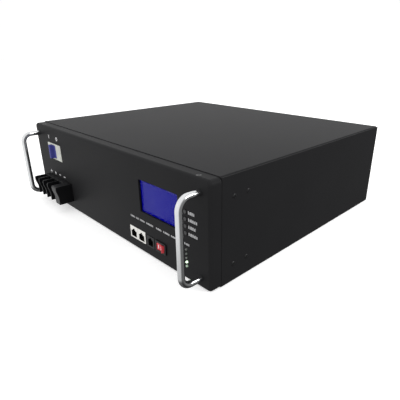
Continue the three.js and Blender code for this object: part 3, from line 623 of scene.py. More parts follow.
powderCoat = powderCoatFinish()
polishedSteel = metalFinish("polishedSteel", (0.76, 0.77, 0.78), 0.17, (8, 8, 0.6), 2.0, 0.002, 0.03)
zincSteel = metalFinish("zincSteel", (0.60, 0.61, 0.62), 0.32)
blackScrew = plasticFinish("blackScrew", (0.012, 0.012, 0.013), (0.008, 0.008, 0.009), 0.38, 0.3)
breakerCream = plasticFinish("breakerCream", (0.66, 0.67, 0.62), (0.61, 0.62, 0.57), 0.42, 0.35, 0.012)
leverBlue = plasticFinish("leverBlue", (0.045, 0.050, 0.30), (0.036, 0.040, 0.25), 0.36, 0.35, 0.012)
blackPlastic = plasticFinish(
    "blackPlastic", (0.006, 0.006, 0.007), (0.004, 0.004, 0.005), 0.42, 0.4, 0.02, Specular_IOR_Level=0.3
)
rockerRed = plasticFinish("rockerRed", (0.62, 0.030, 0.045), (0.54, 0.022, 0.034), 0.26, 0.4, 0.008)
rockerMark = plasticFinish("rockerMark", (0.92, 0.80, 0.82), (0.86, 0.72, 0.75), 0.4, 0.3, 0.006)
buttonGrey = plasticFinish("buttonGrey", (0.028, 0.028, 0.030), (0.022, 0.022, 0.024), 0.4, 0.3, 0.012)
legendInk = plasticFinish("legendInk", (0.55, 0.55, 0.56), (0.46, 0.46, 0.47), 0.6, 0.25, 0.004)
brightInk = plasticFinish("brightInk", (0.78, 0.78, 0.79), (0.70, 0.70, 0.71), 0.6, 0.25, 0.004)
shieldSteel = metalFinish("shieldSteel", (0.93, 0.92, 0.88), 0.42, (1, 1, 1), 1.5, 0.004)
goldPlate = metalFinish("goldPlate", (0.90, 0.62, 0.22), 0.22)
copper = metalFinish("copper", (0.80, 0.36, 0.22), 0.3, (0.4, 4, 4), 1.6, 0.006)
aluminium = metalFinish("aluminium", (0.66, 0.67, 0.68), 0.38, (0.3, 3, 3), 1.6, 0.008)
trayWhite = plasticFinish("trayWhite", (0.62, 0.63, 0.60), (0.56, 0.57, 0.54), 0.46, 0.5)
redSleeve = plasticFinish("redSleeve", (0.36, 0.012, 0.012), (0.30, 0.010, 0.010), 0.55, 0.6, 0.02)
blackSleeve = plasticFinish("blackSleeve", (0.014, 0.014, 0.014), (0.010, 0.010, 0.010), 0.55, 0.6, 0.02)
chipBlack = plasticFinish("chipBlack", (0.018, 0.018, 0.019), (0.013, 0.013, 0.014), 0.5, 0.25)
nylonWhite = plasticFinish("nylonWhite", (0.70, 0.69, 0.62), (0.64, 0.63, 0.56), 0.4, 0.4)
plateSilver = metalFinish("plateSilver", (0.62, 0.62, 0.63), 0.34, (0.3, 1, 3), 1.2, 0.003)
boardUpright = boardFinish("boardUpright", "X", "Z")
boardFlat = boardFinish("boardFlat", "X", "Y")
cellFilm = filmFinish()
glassFibre = weaveFinish()
displayGlass = displayFinish()
windowAcrylic = windowFinish()
lampLit = lampFinish("lampLit", (0.75, 1.0, 0.70), 1.4)
lampDim = lampFinish("lampDim", (0.55, 0.75, 0.55), 0.32)
lampOff = lampFinish("lampOff", (0.05, 0.06, 0.05), 0.1)
print("finishes made")


# Screws are drawn once each and copied.

screws = {
    "panRadius": 3.4,
    "panHeight": 2.1,
    "lowRadius": 2.7,
    "lowHeight": 0.9,
    "shank": 1.8,
    "shankDepth": 2.5,
    "sinkRadius": 3.1,
    "sinkDepth": 1.7,
    "sinkShank": 1.4,
    "sinkShankDepth": 2.0,
    "crossWidth": 0.75,
    "crossReach": 0.56,  # share of the head's radius
    "crossDepth": 0.62,  # share of its height
}


def crossCutter(reach, depth):
    half = screws["crossWidth"] / 2
    arms = [
        blockMesh((-reach, -half, -depth), (reach, half, 1)),
        blockMesh((-half, -reach, -depth), (half, reach, 1)),
    ]
    return joined(*arms)


def panScrew(radius, height):
    shank, foot, rim = screws["shank"], -screws["shankDepth"], 0.35
    profile = [(0, foot), (shank, foot), (shank, 0), (radius, 0), (radius, height * rim)]
    profile += [
        (radius * math.cos(a), height * (rim + (1 - rim) * math.sin(a)))
        for a in (0.35, 0.7, 1.05, 1.35)
    ]
    profile.append((0, height))
    head = turnedMesh(profile, (0, 0, 0), (0, 0, 1), 24)
    cross = crossCutter(screws["crossReach"] * radius, screws["crossDepth"] * height)
    return worked(head, [moved(cross, (0, 0, height))])


def sunkScrew():
    radius, depth, shank = screws["sinkRadius"], screws["sinkDepth"], screws["sinkShank"]
    foot = -depth - screws["sinkShankDepth"]
    profile = [(0, foot), (shank, foot), (shank, -depth), (radius, -0.25), (radius, 0), (0, 0.12)]
    head = turnedMesh(profile, (0, 0, 0), (0, 0, 1), 24)
    return worked(head, [crossCutter(1.7, 1.1)])


screwModels = {
    "pan": panScrew(screws["panRadius"], screws["panHeight"]),
    "low": panScrew(screws["lowRadius"], screws["lowHeight"]),
    "sunk": sunkScrew(),
}


# Each screw is driven to a turn of its own, which follows from how its place is written.
def placedScrew(kind, place, direction):
    copy = screwModels[kind].copy()
    spin = Matrix.Rotation(math.radians(31 * len(str(place)) % 90), 4, "Z")
    matrix = Matrix.Translation(place) @ towards(direction) @ spin
    bmesh.ops.transform(copy, matrix=matrix, verts=copy.verts)
    return copy


# The case: front panel, tray, cover and rear.

panel = {
    "thickness": 2.0,
    "edgeRadius": 4.5,
    "cornerRadius": 6.0,
    "holeEdge": 0.35,
    "gap": 0.4,  # round what passes through the panel
    "touch": 0.3,  # to what rests on its face
    "cutReach": 3.0,
    "breakerNose": 47.0,
    "windowLap": 3.4,
    "windowCorner": 1.2,
    "rockerHole": (9.9, 6.8),  # half width and half height
    "buttonHole": 2.8,
    "lampHole": 1.85,
    "bareRim": (12.0, 8.0, 6.0),  # beside, below and above the holes
    "screwX": 197.0,
    "screwDepth": 6.8,
    "screwSink": 0.15,
    "screwHole": 1.6,
    "cone": (1.5, 3.4, 1.9),  # foot and top radius, depth
}
panelLow, panelHigh = corners("front_panel")
faceY = panelLow.y


# A cutter through the panel's face, with rounded corners.
def faceCutter(x0, x1, z0, z1, radius=0.8):
    reach = panel["cutReach"]
    cutter = blockMesh((x0, faceY - reach, z0), (x1, faceY + reach, z1))
    return roundEdges(cutter, radius, 4, runs("y"))


def holeAround(node, lap=0.0, radius=0.8):
    low, high = corners(node)
    reach = panel["gap"] - lap
    return faceCutter(low.x - reach, high.x + reach, low.z - reach, high.z + reach, radius)


def makePanel():
    gap, reach, top = panel["gap"], panel["cutReach"], panelHigh.z
    shell = blockMesh(panelLow, panelHigh)
    roundEdges(shell, panel["cornerRadius"], 10, runs("y"))
    roundEdges(shell, panel["edgeRadius"], 8, lies("y", faceY))
    openShell(shell, ["+y"], panel["thickness"])

    breakerLow, breakerHigh = corners("breaker_body")
    breakerX = (breakerLow.x + breakerHigh.x) / 2
    nose = panel["breakerNose"] / 2 + gap
    jackLow, jackHigh = corners("data_jack_left")[0], corners("data_jack_right")[1]
    switch = middle("rocker_housing")
    aside, above = panel["rockerHole"]
    cutters = [
        faceCutter(breakerX - nose, breakerX + nose, breakerLow.z - gap, breakerHigh.z + gap),
        holeAround("display_window", panel["windowLap"], panel["windowCorner"]),
        faceCutter(jackLow.x - gap, jackHigh.x + gap, jackLow.z - gap, jackHigh.z + gap),
        holeAround("serial_jack"),
        faceCutter(switch.x - aside, switch.x + aside, switch.z - above, switch.z + above),
    ]
    roundHoles = [(f"menu_button_{i}", panel["buttonHole"]) for i in (1, 2, 3, 4)]
    roundHoles += [(f"status_lamp_{i}", panel["lampHole"]) for i in (1, 2, 3, 4, 5)]
    for node, radius in roundHoles:
        spot = middle(node)
        cutters.append(rodMesh((spot.x, faceY - reach, spot.z), (spot.x, faceY + reach, spot.z), radius))
    shell = worked(shell, [together(cutters)])

    # Countersunk holes for two screws in the top flange.
    screwX, depth = panel["screwX"], faceY + panel["screwDepth"]
    foot, mouth, sink = panel["cone"]
    sinks = []
    for x in (-screwX, screwX):
        sinks.append(rodMesh((x, depth, top - sink), (x, depth, top + 0.1), foot, mouth))
        sinks.append(rodMesh((x, depth, top - 4), (x, depth, top - 1), panel["screwHole"]))
    shell = worked(shell, sinks)
    rimSide, rimBottom, rimTop = panel["bareRim"]

    def onHole(edge):
        inside = all(
            abs(v.co.x) < panelHigh.x - rimSide and rimBottom < v.co.z < top - rimTop
            for v in edge.verts
        )
        return inside and lies("y", faceY)(edge)

    roundEdges(shell, panel["holeEdge"], 2, onHole, 60)
    piece("front_panel_shell", shell, powderCoat, replaces=("front_panel",))
    heads = [
        placedScrew("sunk", (side * screwX, depth, top - panel["screwSink"]), (0, 0, 1))
        for side in (-1, 1)
    ]
    piece("panel_flange_screws", together(heads), blackScrew)


sheets = {
    "thickness": 1.5,
    "trayBend": 3.0,
    "coverBend": 2.0,
    "rearBend": 1.8,
    "edge": 0.25,
    "seam": 0.35,
    "tabInset": 2.4,  # from the wall's outer face
    "tabBottom": 9.0,
    "tabTop": 122.0,
    "tabRoot": 8.0,
    "notchWidth": 2.5,
    "notchDepth": 8.3,
    "notchTop": 3.5,
    "wallScrewDepths": (35.5, 58.0),
    "wallScrewHeights": (24.2, 107.0),
    "wallScrewHole": 2.1,
    "rearScrewX": (-204, -68, 68, 204),
    "rearScrewZ": (14, 118),
}


# Tabs at the walls' front ends reach inside the front panel's flanges.
def makeTray():
    low, high = corners("chassis_tray")
    front = corners("top_cover")[0].y
    tray = blockMesh((low.x, front, low.z), high)
    roundEdges(tray, sheets["trayBend"], 8, lambda edge: lies("z", low.z)(edge) and runs("y")(edge))
    openShell(tray, ["+z", "-y", "+y"], sheets["thickness"])
    tray = worked(tray, [together(wallScrewHoles(high.x + 1))])
    roundEdges(tray, sheets["edge"], 2, None, 60)
    bottom, top, root = sheets["tabBottom"], sheets["tabTop"], front + sheets["tabRoot"]
    tabs = []
    for side in (-1, 1):
        outer = side * (high.x - sheets["tabInset"])
        inner = side * (high.x - sheets["tabInset"] - sheets["thickness"])
        tabs.append(blockMesh((outer, low.y, bottom), (inner, root, top)))
        tabs.append(blockMesh((inner, front + 0.4, bottom), (side * (high.x - 0.2), root, top)))
    piece("case_tray", joined(tray, *tabs), powderCoat, replaces=("chassis_tray",))


wallScrews = [(faceY + depth, z) for depth in sheets["wallScrewDepths"] for z in sheets["wallScrewHeights"]]


def wallScrewHoles(reach):
    return [
        rodMesh((-reach, y, z), (reach, y, z), sheets["wallScrewHole"], sides=24)
        for y, z in wallScrews
    ]


def makeWallScrews():
    edge = corners("chassis_tray")[1].x
    for side, label in ((-1, "left"), (1, "right")):
        heads = [placedScrew("low", (side * edge, y, z), (side, 0, 0)) for y, z in wallScrews]
        piece(f"wall_screws_{label}", together(heads), blackScrew)


# The cover is notched for the tray's tabs.
def makeCover():
    low, high = corners("top_cover")
    low.y -= sheets["seam"]
    cover = blockMesh(low, high)
    roundEdges(cover, sheets["coverBend"], 6, lambda edge: lies("z", high.z)(edge) and runs("y")(edge))
    openShell(cover, ["-z", "-y", "+y"], sheets["thickness"])
    notches = []
    for side in (-1, 1):
        inner, outer = side * (high.x - sheets["notchWidth"]), side * (high.x + 2)
        end, top = low.y + sheets["notchDepth"], high.z - sheets["notchTop"]
        notches.append(blockMesh((inner, low.y - 1, low.z - 1), (outer, end, top)))
    cover = worked(cover, notches)
    roundEdges(cover, sheets["edge"], 2, None, 60)
    piece("cover_sheet", cover, powderCoat, replaces=("top_cover",))


def makeRear():
    low, high = corners("rear_panel")
    pan = blockMesh(low, high)
    roundEdges(pan, sheets["rearBend"], 5, lies("y", high.y))
    openShell(pan, ["-y"], sheets["thickness"])
    piece("rear_pan", pan, powderCoat, replaces=("rear_panel",))
    heads = [
        placedScrew("pan", (x, high.y, z), (0, 1, 0))
        for x in sheets["rearScrewX"]
        for z in sheets["rearScrewZ"]
    ]
    piece("rear_screws", together(heads), blackScrew)


makePanel()
makeTray()
makeWallScrews()
makeCover()
makeRear()
print("case made")


# The handles: one rod each, bent twice.

handle = {"radius": 4.0, "bend": 13.0, "sides": 28, "bendSteps": 14}


def makeHandle(node, name):
    low, high = corners(node)
    radius, bend = handle["radius"], handle["bend"]
    x = (low.x + high.x) / 2
    foot, front = high.y, low.y + radius
    bottom, top = low.z + radius, high.z - radius
    bm = bmesh.new()
    start = Matrix.Translation((x, foot, bottom)) @ towards((0, -1, 0))
    bmesh.ops.create_circle(bm, segments=handle["sides"], radius=radius, matrix=start)
    ring = bm.edges[:]

    def straight(ring, step):
        grown = bmesh.ops.extrude_edge_only(bm, edges=ring)["geom"]
        bmesh.ops.translate(bm, vec=step, verts=[g for g in grown if isinstance(g, bmesh.types.BMVert)])
        return [g for g in grown if isinstance(g, bmesh.types.BMEdge)]

    def bent(ring, centre):
        points = list({v for edge in ring for v in edge.verts})
        last = bmesh.ops.spin(
            bm,
            geom=points + ring,
            cent=centre,
            axis=(-1, 0, 0),
            angle=math.pi / 2,
            steps=handle["bendSteps"],
        )["geom_last"]
        return [g for g in last if isinstance(g, bmesh.types.BMEdge)]

    ring = straight(ring, (0, front + bend - foot, 0))
    ring = [edge for edge in ring if lies("y", front + bend)(edge)]
    ring = bent(ring, (x, front + bend, bottom + bend))
    ring = straight(ring, (0, 0, top - bottom - 2 * bend))
    ring = [edge for edge in ring if lies("z", top - bend)(edge)]
    ring = bent(ring, (x, front + bend, top - bend))
    straight(ring, (0, foot - front - bend, 0))
    bmesh.ops.holes_fill(bm, edges=bm.edges, sides=handle["sides"] + 1)
    bmesh.ops.remove_doubles(bm, verts=bm.verts, dist=1e-4)
    bmesh.ops.recalc_face_normals(bm, faces=bm.faces)
    piece(name, bm, polishedSteel, replaces=(node,), weighted=False, smooth=50)


makeHandle("handle_left", "handle_bar_left")
makeHandle("handle_right", "handle_bar_right")
print("handles made")


# The breaker and its lever.

breaker = {
    "noseDepth": 15.0,
    "shoulder": 3.0,
    "railClip": 17.9,
    "railSeat": 5.0,
    "edge": 0.7,
    "seam": (0.25, 0.35),  # width and depth
    "dimple": (18.2, 22.4, 2.5, 8.5, 0.3),  # from the middle, from the ends, depth
    "wireHole": 4.0,
    "sideHole": 5.2,
    "sideHoleDepth": 38.0,
    "slotHalf": 11.5,
    "mouth": 8.5,
    "drum": 9.2,
    "drumGap": 0.5,
    "leverReach": 16.0,
    "leverThickness": 8.0,
    "tip": 2.6,
    "taper": 0.3,
    "lean": 20.0,
    "grip": 0.32,
    "gripStart": 3.4,
    "gripPitch": 1.5,
}


def jointPlace(name):
    joint = next(j for j in frame["record"]["behaviour"]["joints"] if j["name"] == name)
    return Vector(joint["pos_m"]) / toMetres


def makeBreaker():
    low, high = corners("breaker_body")
    x = (low.x + high.x) / 2
    nose = panel["breakerNose"] / 2
    shoulder = faceY + breaker["noseDepth"]
    back = shoulder + breaker["shoulder"]
    clip, seat = breaker["railClip"], high.y - breaker["railSeat"]
    shape = [(x - nose, low.y), (x + nose, low.y), (x + nose, shoulder), (high.x, back), (high.x, high.y)]
    shape += [(x + clip, high.y), (x + clip, seat), (x - clip, seat), (x - clip, high.y)]
    shape += [(low.x, high.y), (low.x, back), (x - nose, shoulder)]
    body = roundEdges(prismMesh(shape, "z", low.z, high.z), breaker["edge"], 3)

    pivot = jointPlace("breaker_lever_hinge")
    mouth = breaker["mouth"]
    z0, z1 = pivot.z - breaker["slotHalf"], pivot.z + breaker["slotHalf"]
    drum = breaker["drum"] + breaker["drumGap"]
    slot = blockMesh((pivot.x - mouth, low.y - 1, z0), (pivot.x + mouth, pivot.y, z1))
    hollow = rodMesh((pivot.x, pivot.y, z0), (pivot.x, pivot.y, z1), drum, sides=48)
    body = worked(body, [slot, hollow])

    seam, seamDepth = breaker["seam"]
    x0, x1, z0, z1, dimpleDepth = breaker["dimple"]
    dimpleEnd = low.y + dimpleDepth
    grooves = [
        blockMesh(
            (low.x - 1, low.y - 1, pivot.z - seam / 2), (high.x + 1, low.y + seamDepth, pivot.z + seam / 2)
        ),
        blockMesh((x + x0, low.y - 1, low.z + z0), (x + x1, dimpleEnd, low.z + z1)),
        blockMesh((x + x0, low.y - 1, high.z - z1), (x + x1, dimpleEnd, high.z - z0)),
    ]
    sideY = faceY + breaker["sideHoleDepth"]
    for side, end in ((-1, low.x), (1, high.x)):
        aside = x + side * (nose + 9)
        wire = rodMesh((aside, shoulder - 1, pivot.z), (aside, shoulder + 12, pivot.z), breaker["wireHole"])
        screw = rodMesh((end - side * 9, sideY, pivot.z), (end + side, sideY, pivot.z), breaker["sideHole"])
        grooves += [wire, screw]
    body = worked(body, grooves)
    piece("breaker_case", body, breakerCream, replaces=("breaker_body",))


def makeLever():
    pivot = jointPlace("breaker_lever_hinge")
    low, high = corners("breaker_lever")
    z0, z1 = low.z, high.z
    half, tip, taper = breaker["leverThickness"] / 2, breaker["tip"], breaker["taper"]
    front = pivot.y - breaker["leverReach"]
    drum = rodMesh((pivot.x, pivot.y, z0), (pivot.x, pivot.y, z1), breaker["drum"], sides=48)
    shape = [(pivot.x + half - taper, pivot.y), (pivot.x + half, front + tip)]
    shape += arc((pivot.x + half - tip, front + tip), tip, 0, -90, 8)
    shape += arc((pivot.x - half + tip, front + tip), tip, -90, -180, 8)
    shape += [(pivot.x - half + taper, pivot.y)]
    paddle = roundEdges(prismMesh(shape, "z", z0, z1), 0.7, 3, lambda edge: not runs("z")(edge))
    grips = []
    for side in (-1, 1):
        for step in range(3):
            x, y = pivot.x + side * half, front + breaker["gripStart"] + breaker["gripPitch"] * step
            grips.append(rodMesh((x, y, z0 - 1), (x, y, z1 + 1), breaker["grip"], sides=12))
    lever = worked(joined(roundEdges(drum, 0.5, 2), paddle), [together(grips)])
    moved(lever, turn=(-breaker["lean"], "Z"), about=pivot)
    piece("breaker_toggle", lever, leverBlue, "breaker_lever", ("breaker_lever",), smooth=40)


makeBreaker()
makeLever()
print("breaker made")


# The terminal block and its bolts.

terminal = {
    "pitch": 17.3,
    "count": 4,
    "end": 15.8,
    "floor": 8.3,
    "wall": 2.4,
    "round": 2.0,
    "lip": 6.5,
    "retreat": 11.0,
    "setBack": 3.2,
    "edge": 0.45,
    "rearInset": 3.5,
    "rearMargin": 6.0,
    "bore": 3.3,
}


# A barrier seen from the side: rounded at the top, drawn back below its front lip.
def barrierOutline():
    low, high = corners("terminal_block")
    front, back, top = low.y, faceY - panel["touch"], high.z
    bend, setBack = terminal["round"], front + terminal["setBack"]
    under = top - terminal["lip"]
    points = [(back, low.z), (back, top)]
    points += arc((front + bend, top - bend), bend, 90, 180, 10)
    points += [(front, under), (setBack, under - terminal["retreat"]), (setBack, low.z)]
    return points


def makeTerminalBlock():
    low, high = corners("terminal_block")
    back, floor = faceY - panel["touch"], faceY - terminal["floor"]
    inset, margin = terminal["rearInset"], terminal["rearMargin"]
    wall = terminal["wall"]

    def barrier(x0, x1):
        return roundEdges(prismMesh(barrierOutline(), "x", x0, x1), terminal["edge"], 3, None, 15)

    base = roundEdges(blockMesh((low.x, floor, low.z), (high.x, back, high.z)), terminal["edge"])
    parts = [
        blockMesh((low.x + inset, back - 1, low.z + margin), (high.x - inset, high.y, high.z - margin))
    ]
    for index in range(terminal["count"]):
        x = low.x + index * terminal["pitch"] - (0 if index == 0 else wall / 2)
        parts.append(barrier(x, x + wall))
    parts.append(barrier(high.x - terminal["end"], high.x))
    block = joined(base, *parts)
    z = (low.z + high.z) / 2
    bores = []
    for index in range(1, terminal["count"] + 1):
        x = middle(f"terminal_bolt_{index}").x
        bores.append(rodMesh((x, floor - 1, z), (x, faceY + 7, z), terminal["bore"], sides=24))
    piece("terminal_body", worked(block, bores), blackPlastic, replaces=("terminal_block",))


bolt = {
    "head": 5.0,  # middle to flats
    "headHeight": 4.5,
    "washer": 5.7,
    "washerHeight": 1.8,
    "springWasher": 5.0,
    "washerBore": 3.1,
    "shank": 3.0,
}


# A hexagonal head with a turned chamfer, a spring washer, a flat washer and the shank.
def makeBolts():
    flat, bore, spring, washer = bolt["head"], bolt["washerBore"], bolt["springWasher"], bolt["washer"]
    headHeight, thick = bolt["headHeight"], bolt["washerHeight"]
    corner = flat + 0.75
    domeShape = [(0, 0), (flat - 0.6, 0), (corner, 0.9), (corner, headHeight), (0, headHeight)]
    washerShape = [(bore, 0.9), (washer - 0.3, 0.9), (washer, 1.1), (washer, thick), (bore, thick)]
    springShape = [(bore, 0.02), (spring - 0.1, 0.02), (spring, 0.15), (spring, 0.85), (bore, 0.85)]
    for index in range(1, terminal["count"] + 1):
        node = f"terminal_bolt_{index}"
        low, high = corners(node)
        x, z, front = (low.x + high.x) / 2, (low.z + high.z) / 2, low.y
        seat = front + headHeight + thick
        dome = turnedMesh(domeShape, (x, front, z), (0, 1, 0), 48)
        flats = rodMesh((x, front - 1, z), (x, seat, z), flat / math.cos(math.pi / 6), sides=6)
        parts = [worked(dome, [flats], "INTERSECT")]
        for shape in (washerShape, springShape):
            parts.append(turnedMesh(shape, (x, seat - thick, z), (0, 1, 0), 40, True))
        parts.append(rodMesh((x, seat - 3, z), (x, high.y, z), bolt["shank"], sides=24))
        piece(f"terminal_screw_{index}", together(parts), zincSteel, replaces=(node,))


makeTerminalBlock()
makeBolts()
print("terminals made")


# The display: window, bezel, lit glass, board and light box.

display = {
    "window": (37.5, 21.5),  # half width and half height, as the next two
    "glass": (38.2, 22.2),
    "lightBox": (38.5, 17.5),
    "rim": 4.0,
    "glassTop": 0.35,
    "glassInset": 1.4,
    "frameDepth": 4.6,
    "boardThickness": 1.6,
    "screwHole": 1.25,
    "screwInset": 2.5,
}


def makeDisplay():
    low, high = corners("display_window")
    pane = roundEdges(blockMesh(low, high), 1.5, 4, runs("y"))
    roundEdges(pane, 0.15, 2, None, 60)
    piece("display_pane", pane, windowAcrylic, replaces=("display_window",))

    low, high = corners("display_module")
    spot = middle("display_window")

    def slab(half, y0, y1):
        aside, above = half
        return blockMesh((spot.x - aside, y0, spot.z - above), (spot.x + aside, y1, spot.z + above))

    front, inside = low.y, low.y + display["glassInset"]
    boardFace = front + display["frameDepth"]
    boardBack = boardFace + display["boardThickness"]
    rim = slab([half + display["rim"] for half in display["window"]], front, boardFace)
    roundEdges(rim, 0.8, 3, lambda edge: not lies("y", boardFace)(edge))
    rim = worked(rim, [slab(display["glass"], front - 1, inside)])
    piece("display_bezel", rim, chipBlack)
    glass = slab(display["glass"], front + display["glassTop"], inside + 0.1)
    piece("display_glass", glass, displayGlass, replaces=("display_module",))
    board = blockMesh((low.x, boardFace, low.z), (high.x, boardBack, high.z))
    inset = display["screwInset"]
    holes = [
        rodMesh((x, boardFace - 1, z), (x, boardFace + 3, z), display["screwHole"], sides=20)
        for x in (low.x + inset, high.x - inset)
        for z in (low.z + inset, high.z - inset)
    ]
    piece("display_board", worked(board, [together(holes)]), boardUpright)
    light = slab(display["lightBox"], boardBack, high.y)
    piece("display_light_box", roundEdges(light, 0.6), trayWhite)


makeDisplay()
print("display made")


# The jacks.

jack = {
    "wall": 0.45,
    "sill": 2.2,
    "height": 8.6,
    "depth": 14.0,
    "latch": 6.4,
    "latchHeight": 2.9,
    "pinPitch": 1.02,
    "pinHalf": 0.22,
    "pinSlope": 16.0,
}


def socketOutline(x, z, width):
    half, latch = width / 2, jack["latch"] / 2
    low, roof = z + jack["sill"], z + jack["sill"] + jack["height"]
    step = jack["latchHeight"] / 2
    return [
        (x - half, low),
        (x + half, low),
        (x + half, roof),
        (x + latch, roof),
        (x + latch, roof + step),
        (x + latch / 2, roof + step),
        (x + latch / 2, roof + 2 * step),
        (x - latch / 2, roof + 2 * step),
        (x - latch / 2, roof + step),
        (x - latch, roof + step),
        (x - latch, roof),
        (x - half, roof),
    ]


def makeJack(node, width, pins, shielded):
    low, high = corners(node)
    x, sill = (low.x + high.x) / 2, low.z + jack["sill"]
    outline = socketOutline(x, low.z, width)
    wall = jack["wall"]
    if shielded:
        shell = roundEdges(blockMesh(low, high), 0.5, 3)
        inner = blockMesh(low + Vector((wall, wall, wall)), high - Vector((wall, -1, wall)))
        parts = [worked(shell, [inner, prismMesh(outline, "y", low.y - 1, low.y + 2)])]
        for side, edge in ((-1, low.x), (1, high.x)):
            inside, outside = edge - side * 0.3, edge + side * 0.12
            parts.append(blockMesh((inside, low.y + 4, low.z + 5), (outside, low.y + 9, low.z + 12)))
        piece(f"{node}_shield", together(parts), shieldSteel, replaces=(node,))
        gap = wall + 0.02
        low = low + Vector((gap, gap, gap))
        high = high - Vector((gap, 0.2, gap))
    insert = roundEdges(blockMesh(low, high), 0.3, 2)
    insert = worked(insert, [prismMesh(outline, "y", low.y - 1, low.y + jack["depth"])])
    replaced = () if shielded else (node,)
    piece(f"{node}_insert", insert, blackPlastic, replaces=replaced)
    contacts, half = [], jack["pinHalf"]
    for index in range(pins):
        place = x + (index - (pins - 1) / 2) * jack["pinPitch"]
        pin = blockMesh((place - half, low.y + 2.2, sill + 0.05), (place + half, low.y + 11.5, sill + 0.3))
        contacts.append(moved(pin, turn=(jack["pinSlope"], "X"), about=(place, low.y + 2.2, sill + 0.3)))
    piece(f"{node}_contacts", together(contacts), goldPlate)


makeJack("data_jack_left", 12.0, 8, True)
makeJack("data_jack_right", 12.0, 8, True)
makeJack("serial_jack", 10.2, 6, False)
print("jacks made")


# The rocker switch.

rocker = {
    "body": (9.5, 6.4),  # half width and half height
    "wall": 1.3,
    "well": 9.0,
    "gap": 0.25,
    "bladeLength": 8.0,
    "bladeSpacing": 4.0,  # from the middle
    "blade": (0.4, 3.15),
    "tilt": 11.0,
    "valley": 2.8,
    "faceEnd": 38.0,
    "skirtEnd": 20.0,
    "foot": (3.0, 4.4),
    "markReach": 3.0,
}


def makeRockerFrame():
    low, high = corners("rocker_housing")
    x, z = (low.x + high.x) / 2, (low.z + high.z) / 2
    front, back, rear = low.y, faceY - panel["touch"], high.y - rocker["bladeLength"]
    bezel = roundEdges(blockMesh((low.x, front, low.z), (high.x, back, high.z)), 1.2, 4, runs("y"))
    roundEdges(bezel, 0.6, 3, lies("y", front))
    bodyX, bodyZ = rocker["body"]
    wellX, wellZ = bodyX - rocker["wall"], bodyZ - rocker["wall"]
    floor = faceY + rocker["well"]
    housing = joined(bezel, blockMesh((x - bodyX, back - 0.5, z - bodyZ), (x + bodyX, rear, z + bodyZ)))
    well = blockMesh((x - wellX, front - 1, z - wellZ), (x + wellX, floor, z + wellZ))
    housing = worked(housing, [roundEdges(well, 0.5, 3, runs("y"))])
    piece("rocker_frame", housing, blackPlastic, replaces=("rocker_housing",))
    blades = []
    thin, tall = rocker["blade"]
    for place in (x - rocker["bladeSpacing"], x + rocker["bladeSpacing"]):
        blade = blockMesh((place - thin, rear - 0.5, z - tall), (place + thin, high.y, z + tall))
        blades.append(roundEdges(blade, 0.15, 1))
    piece("rocker_blades", together(blades), zincSteel)


def makeRockerCap():
    pivot = jointPlace("rocker_hinge")
    bodyX, bodyZ = rocker["body"]
    radius = bodyX - rocker["wall"] - rocker["gap"]
    half = bodyZ - rocker["wall"] - rocker["gap"]
    valley, faceEnd, skirtEnd = rocker["valley"], rocker["faceEnd"], rocker["skirtEnd"]
    footX, footY = rocker["foot"]
    shape = [(pivot.x, pivot.y - valley)]
    shape += arc((pivot.x, pivot.y), radius, -faceEnd, skirtEnd, 10)
    shape += [(pivot.x + footX, pivot.y + footY), (pivot.x - footX, pivot.y + footY)]
    shape += arc((pivot.x, pivot.y), radius, 180 - skirtEnd, 180 + faceEnd, 10)
    cap = prismMesh(shape, "z", pivot.z - half, pivot.z + half)
    roundEdges(cap, 0.45, 3, None, 20)
    moved(cap, turn=(-rocker["tilt"], "Z"), about=pivot)
    piece("rocker_cap", cap, rockerRed, "rocker_button", ("rocker_button",), smooth=40)

    # A ring on one half of the face and a bar on the other.
    edge = math.radians(faceEnd)
    slope = math.atan2(radius * math.sin(edge) - valley, radius * math.cos(edge))
    reach = rocker["markReach"]
    rise = valley + reach * math.tan(slope) + 0.02
    ring = turnedMesh([(1.3, 0), (2.5, 0), (2.5, 0.1), (1.3, 0.1)], (0, 0, 0), (0, -1, 0), 32, True)
    stroke = blockMesh((-0.65, -0.1, -2.5), (0.65, 0, 2.5))
    for part, side in ((ring, 1), (stroke, -1)):
        moved(part, turn=(-side * math.degrees(slope), "Z"))
        moved(part, (pivot.x + side * reach, pivot.y - rise, pivot.z))
        moved(part, turn=(-rocker["tilt"], "Z"), about=pivot)
    piece("rocker_marks", together([ring, stroke]), rockerMark, "rocker_button")


makeRockerFrame()
makeRockerCap()
print("rocker made")


# The menu buttons and the status lamps.

button = {
    "count": 4,
    "radius": 2.4,
    "flange": 0.9,
    "flangeDepth": 2.6,  # behind the panel's face
    "flangeThickness": 0.8,
    "stem": 1.8,
}


def makeButtons():
    radius, stem = button["radius"], button["stem"]
    rim = radius + button["flange"]
    for index in range(1, button["count"] + 1):
        node = f"menu_button_{index}"
        low, high = corners(node)
        x, z = (low.x + high.x) / 2, (low.z + high.z) / 2
        length = high.y - low.y
        collar = faceY + button["flangeDepth"] - low.y
        under = collar + button["flangeThickness"]
        profile = [(0, 0.12), (0.9, 0.08), (1.6, 0.02)]  # a face that is slightly dished
        profile += [(radius - 0.45, 0.0), (radius - 0.13, 0.13), (radius, 0.45)]
        profile += [(radius, collar), (rim, collar), (rim, under), (stem, under), (stem, length), (0, length)]
        cap = turnedMesh(profile, (x, low.y, z), (0, 1, 0), 32)
        piece(
            f"menu_cap_{index}", cap, buttonGrey, node, (node,), smooth=40, weighted=False
        )


lamp = {
    "radius": 1.45,
    "flange": 0.35,
    "flangeLength": 5.0,
    "looks": (lampDim, lampLit, lampOff, lampOff, lampOff),  # from the lowest up
}


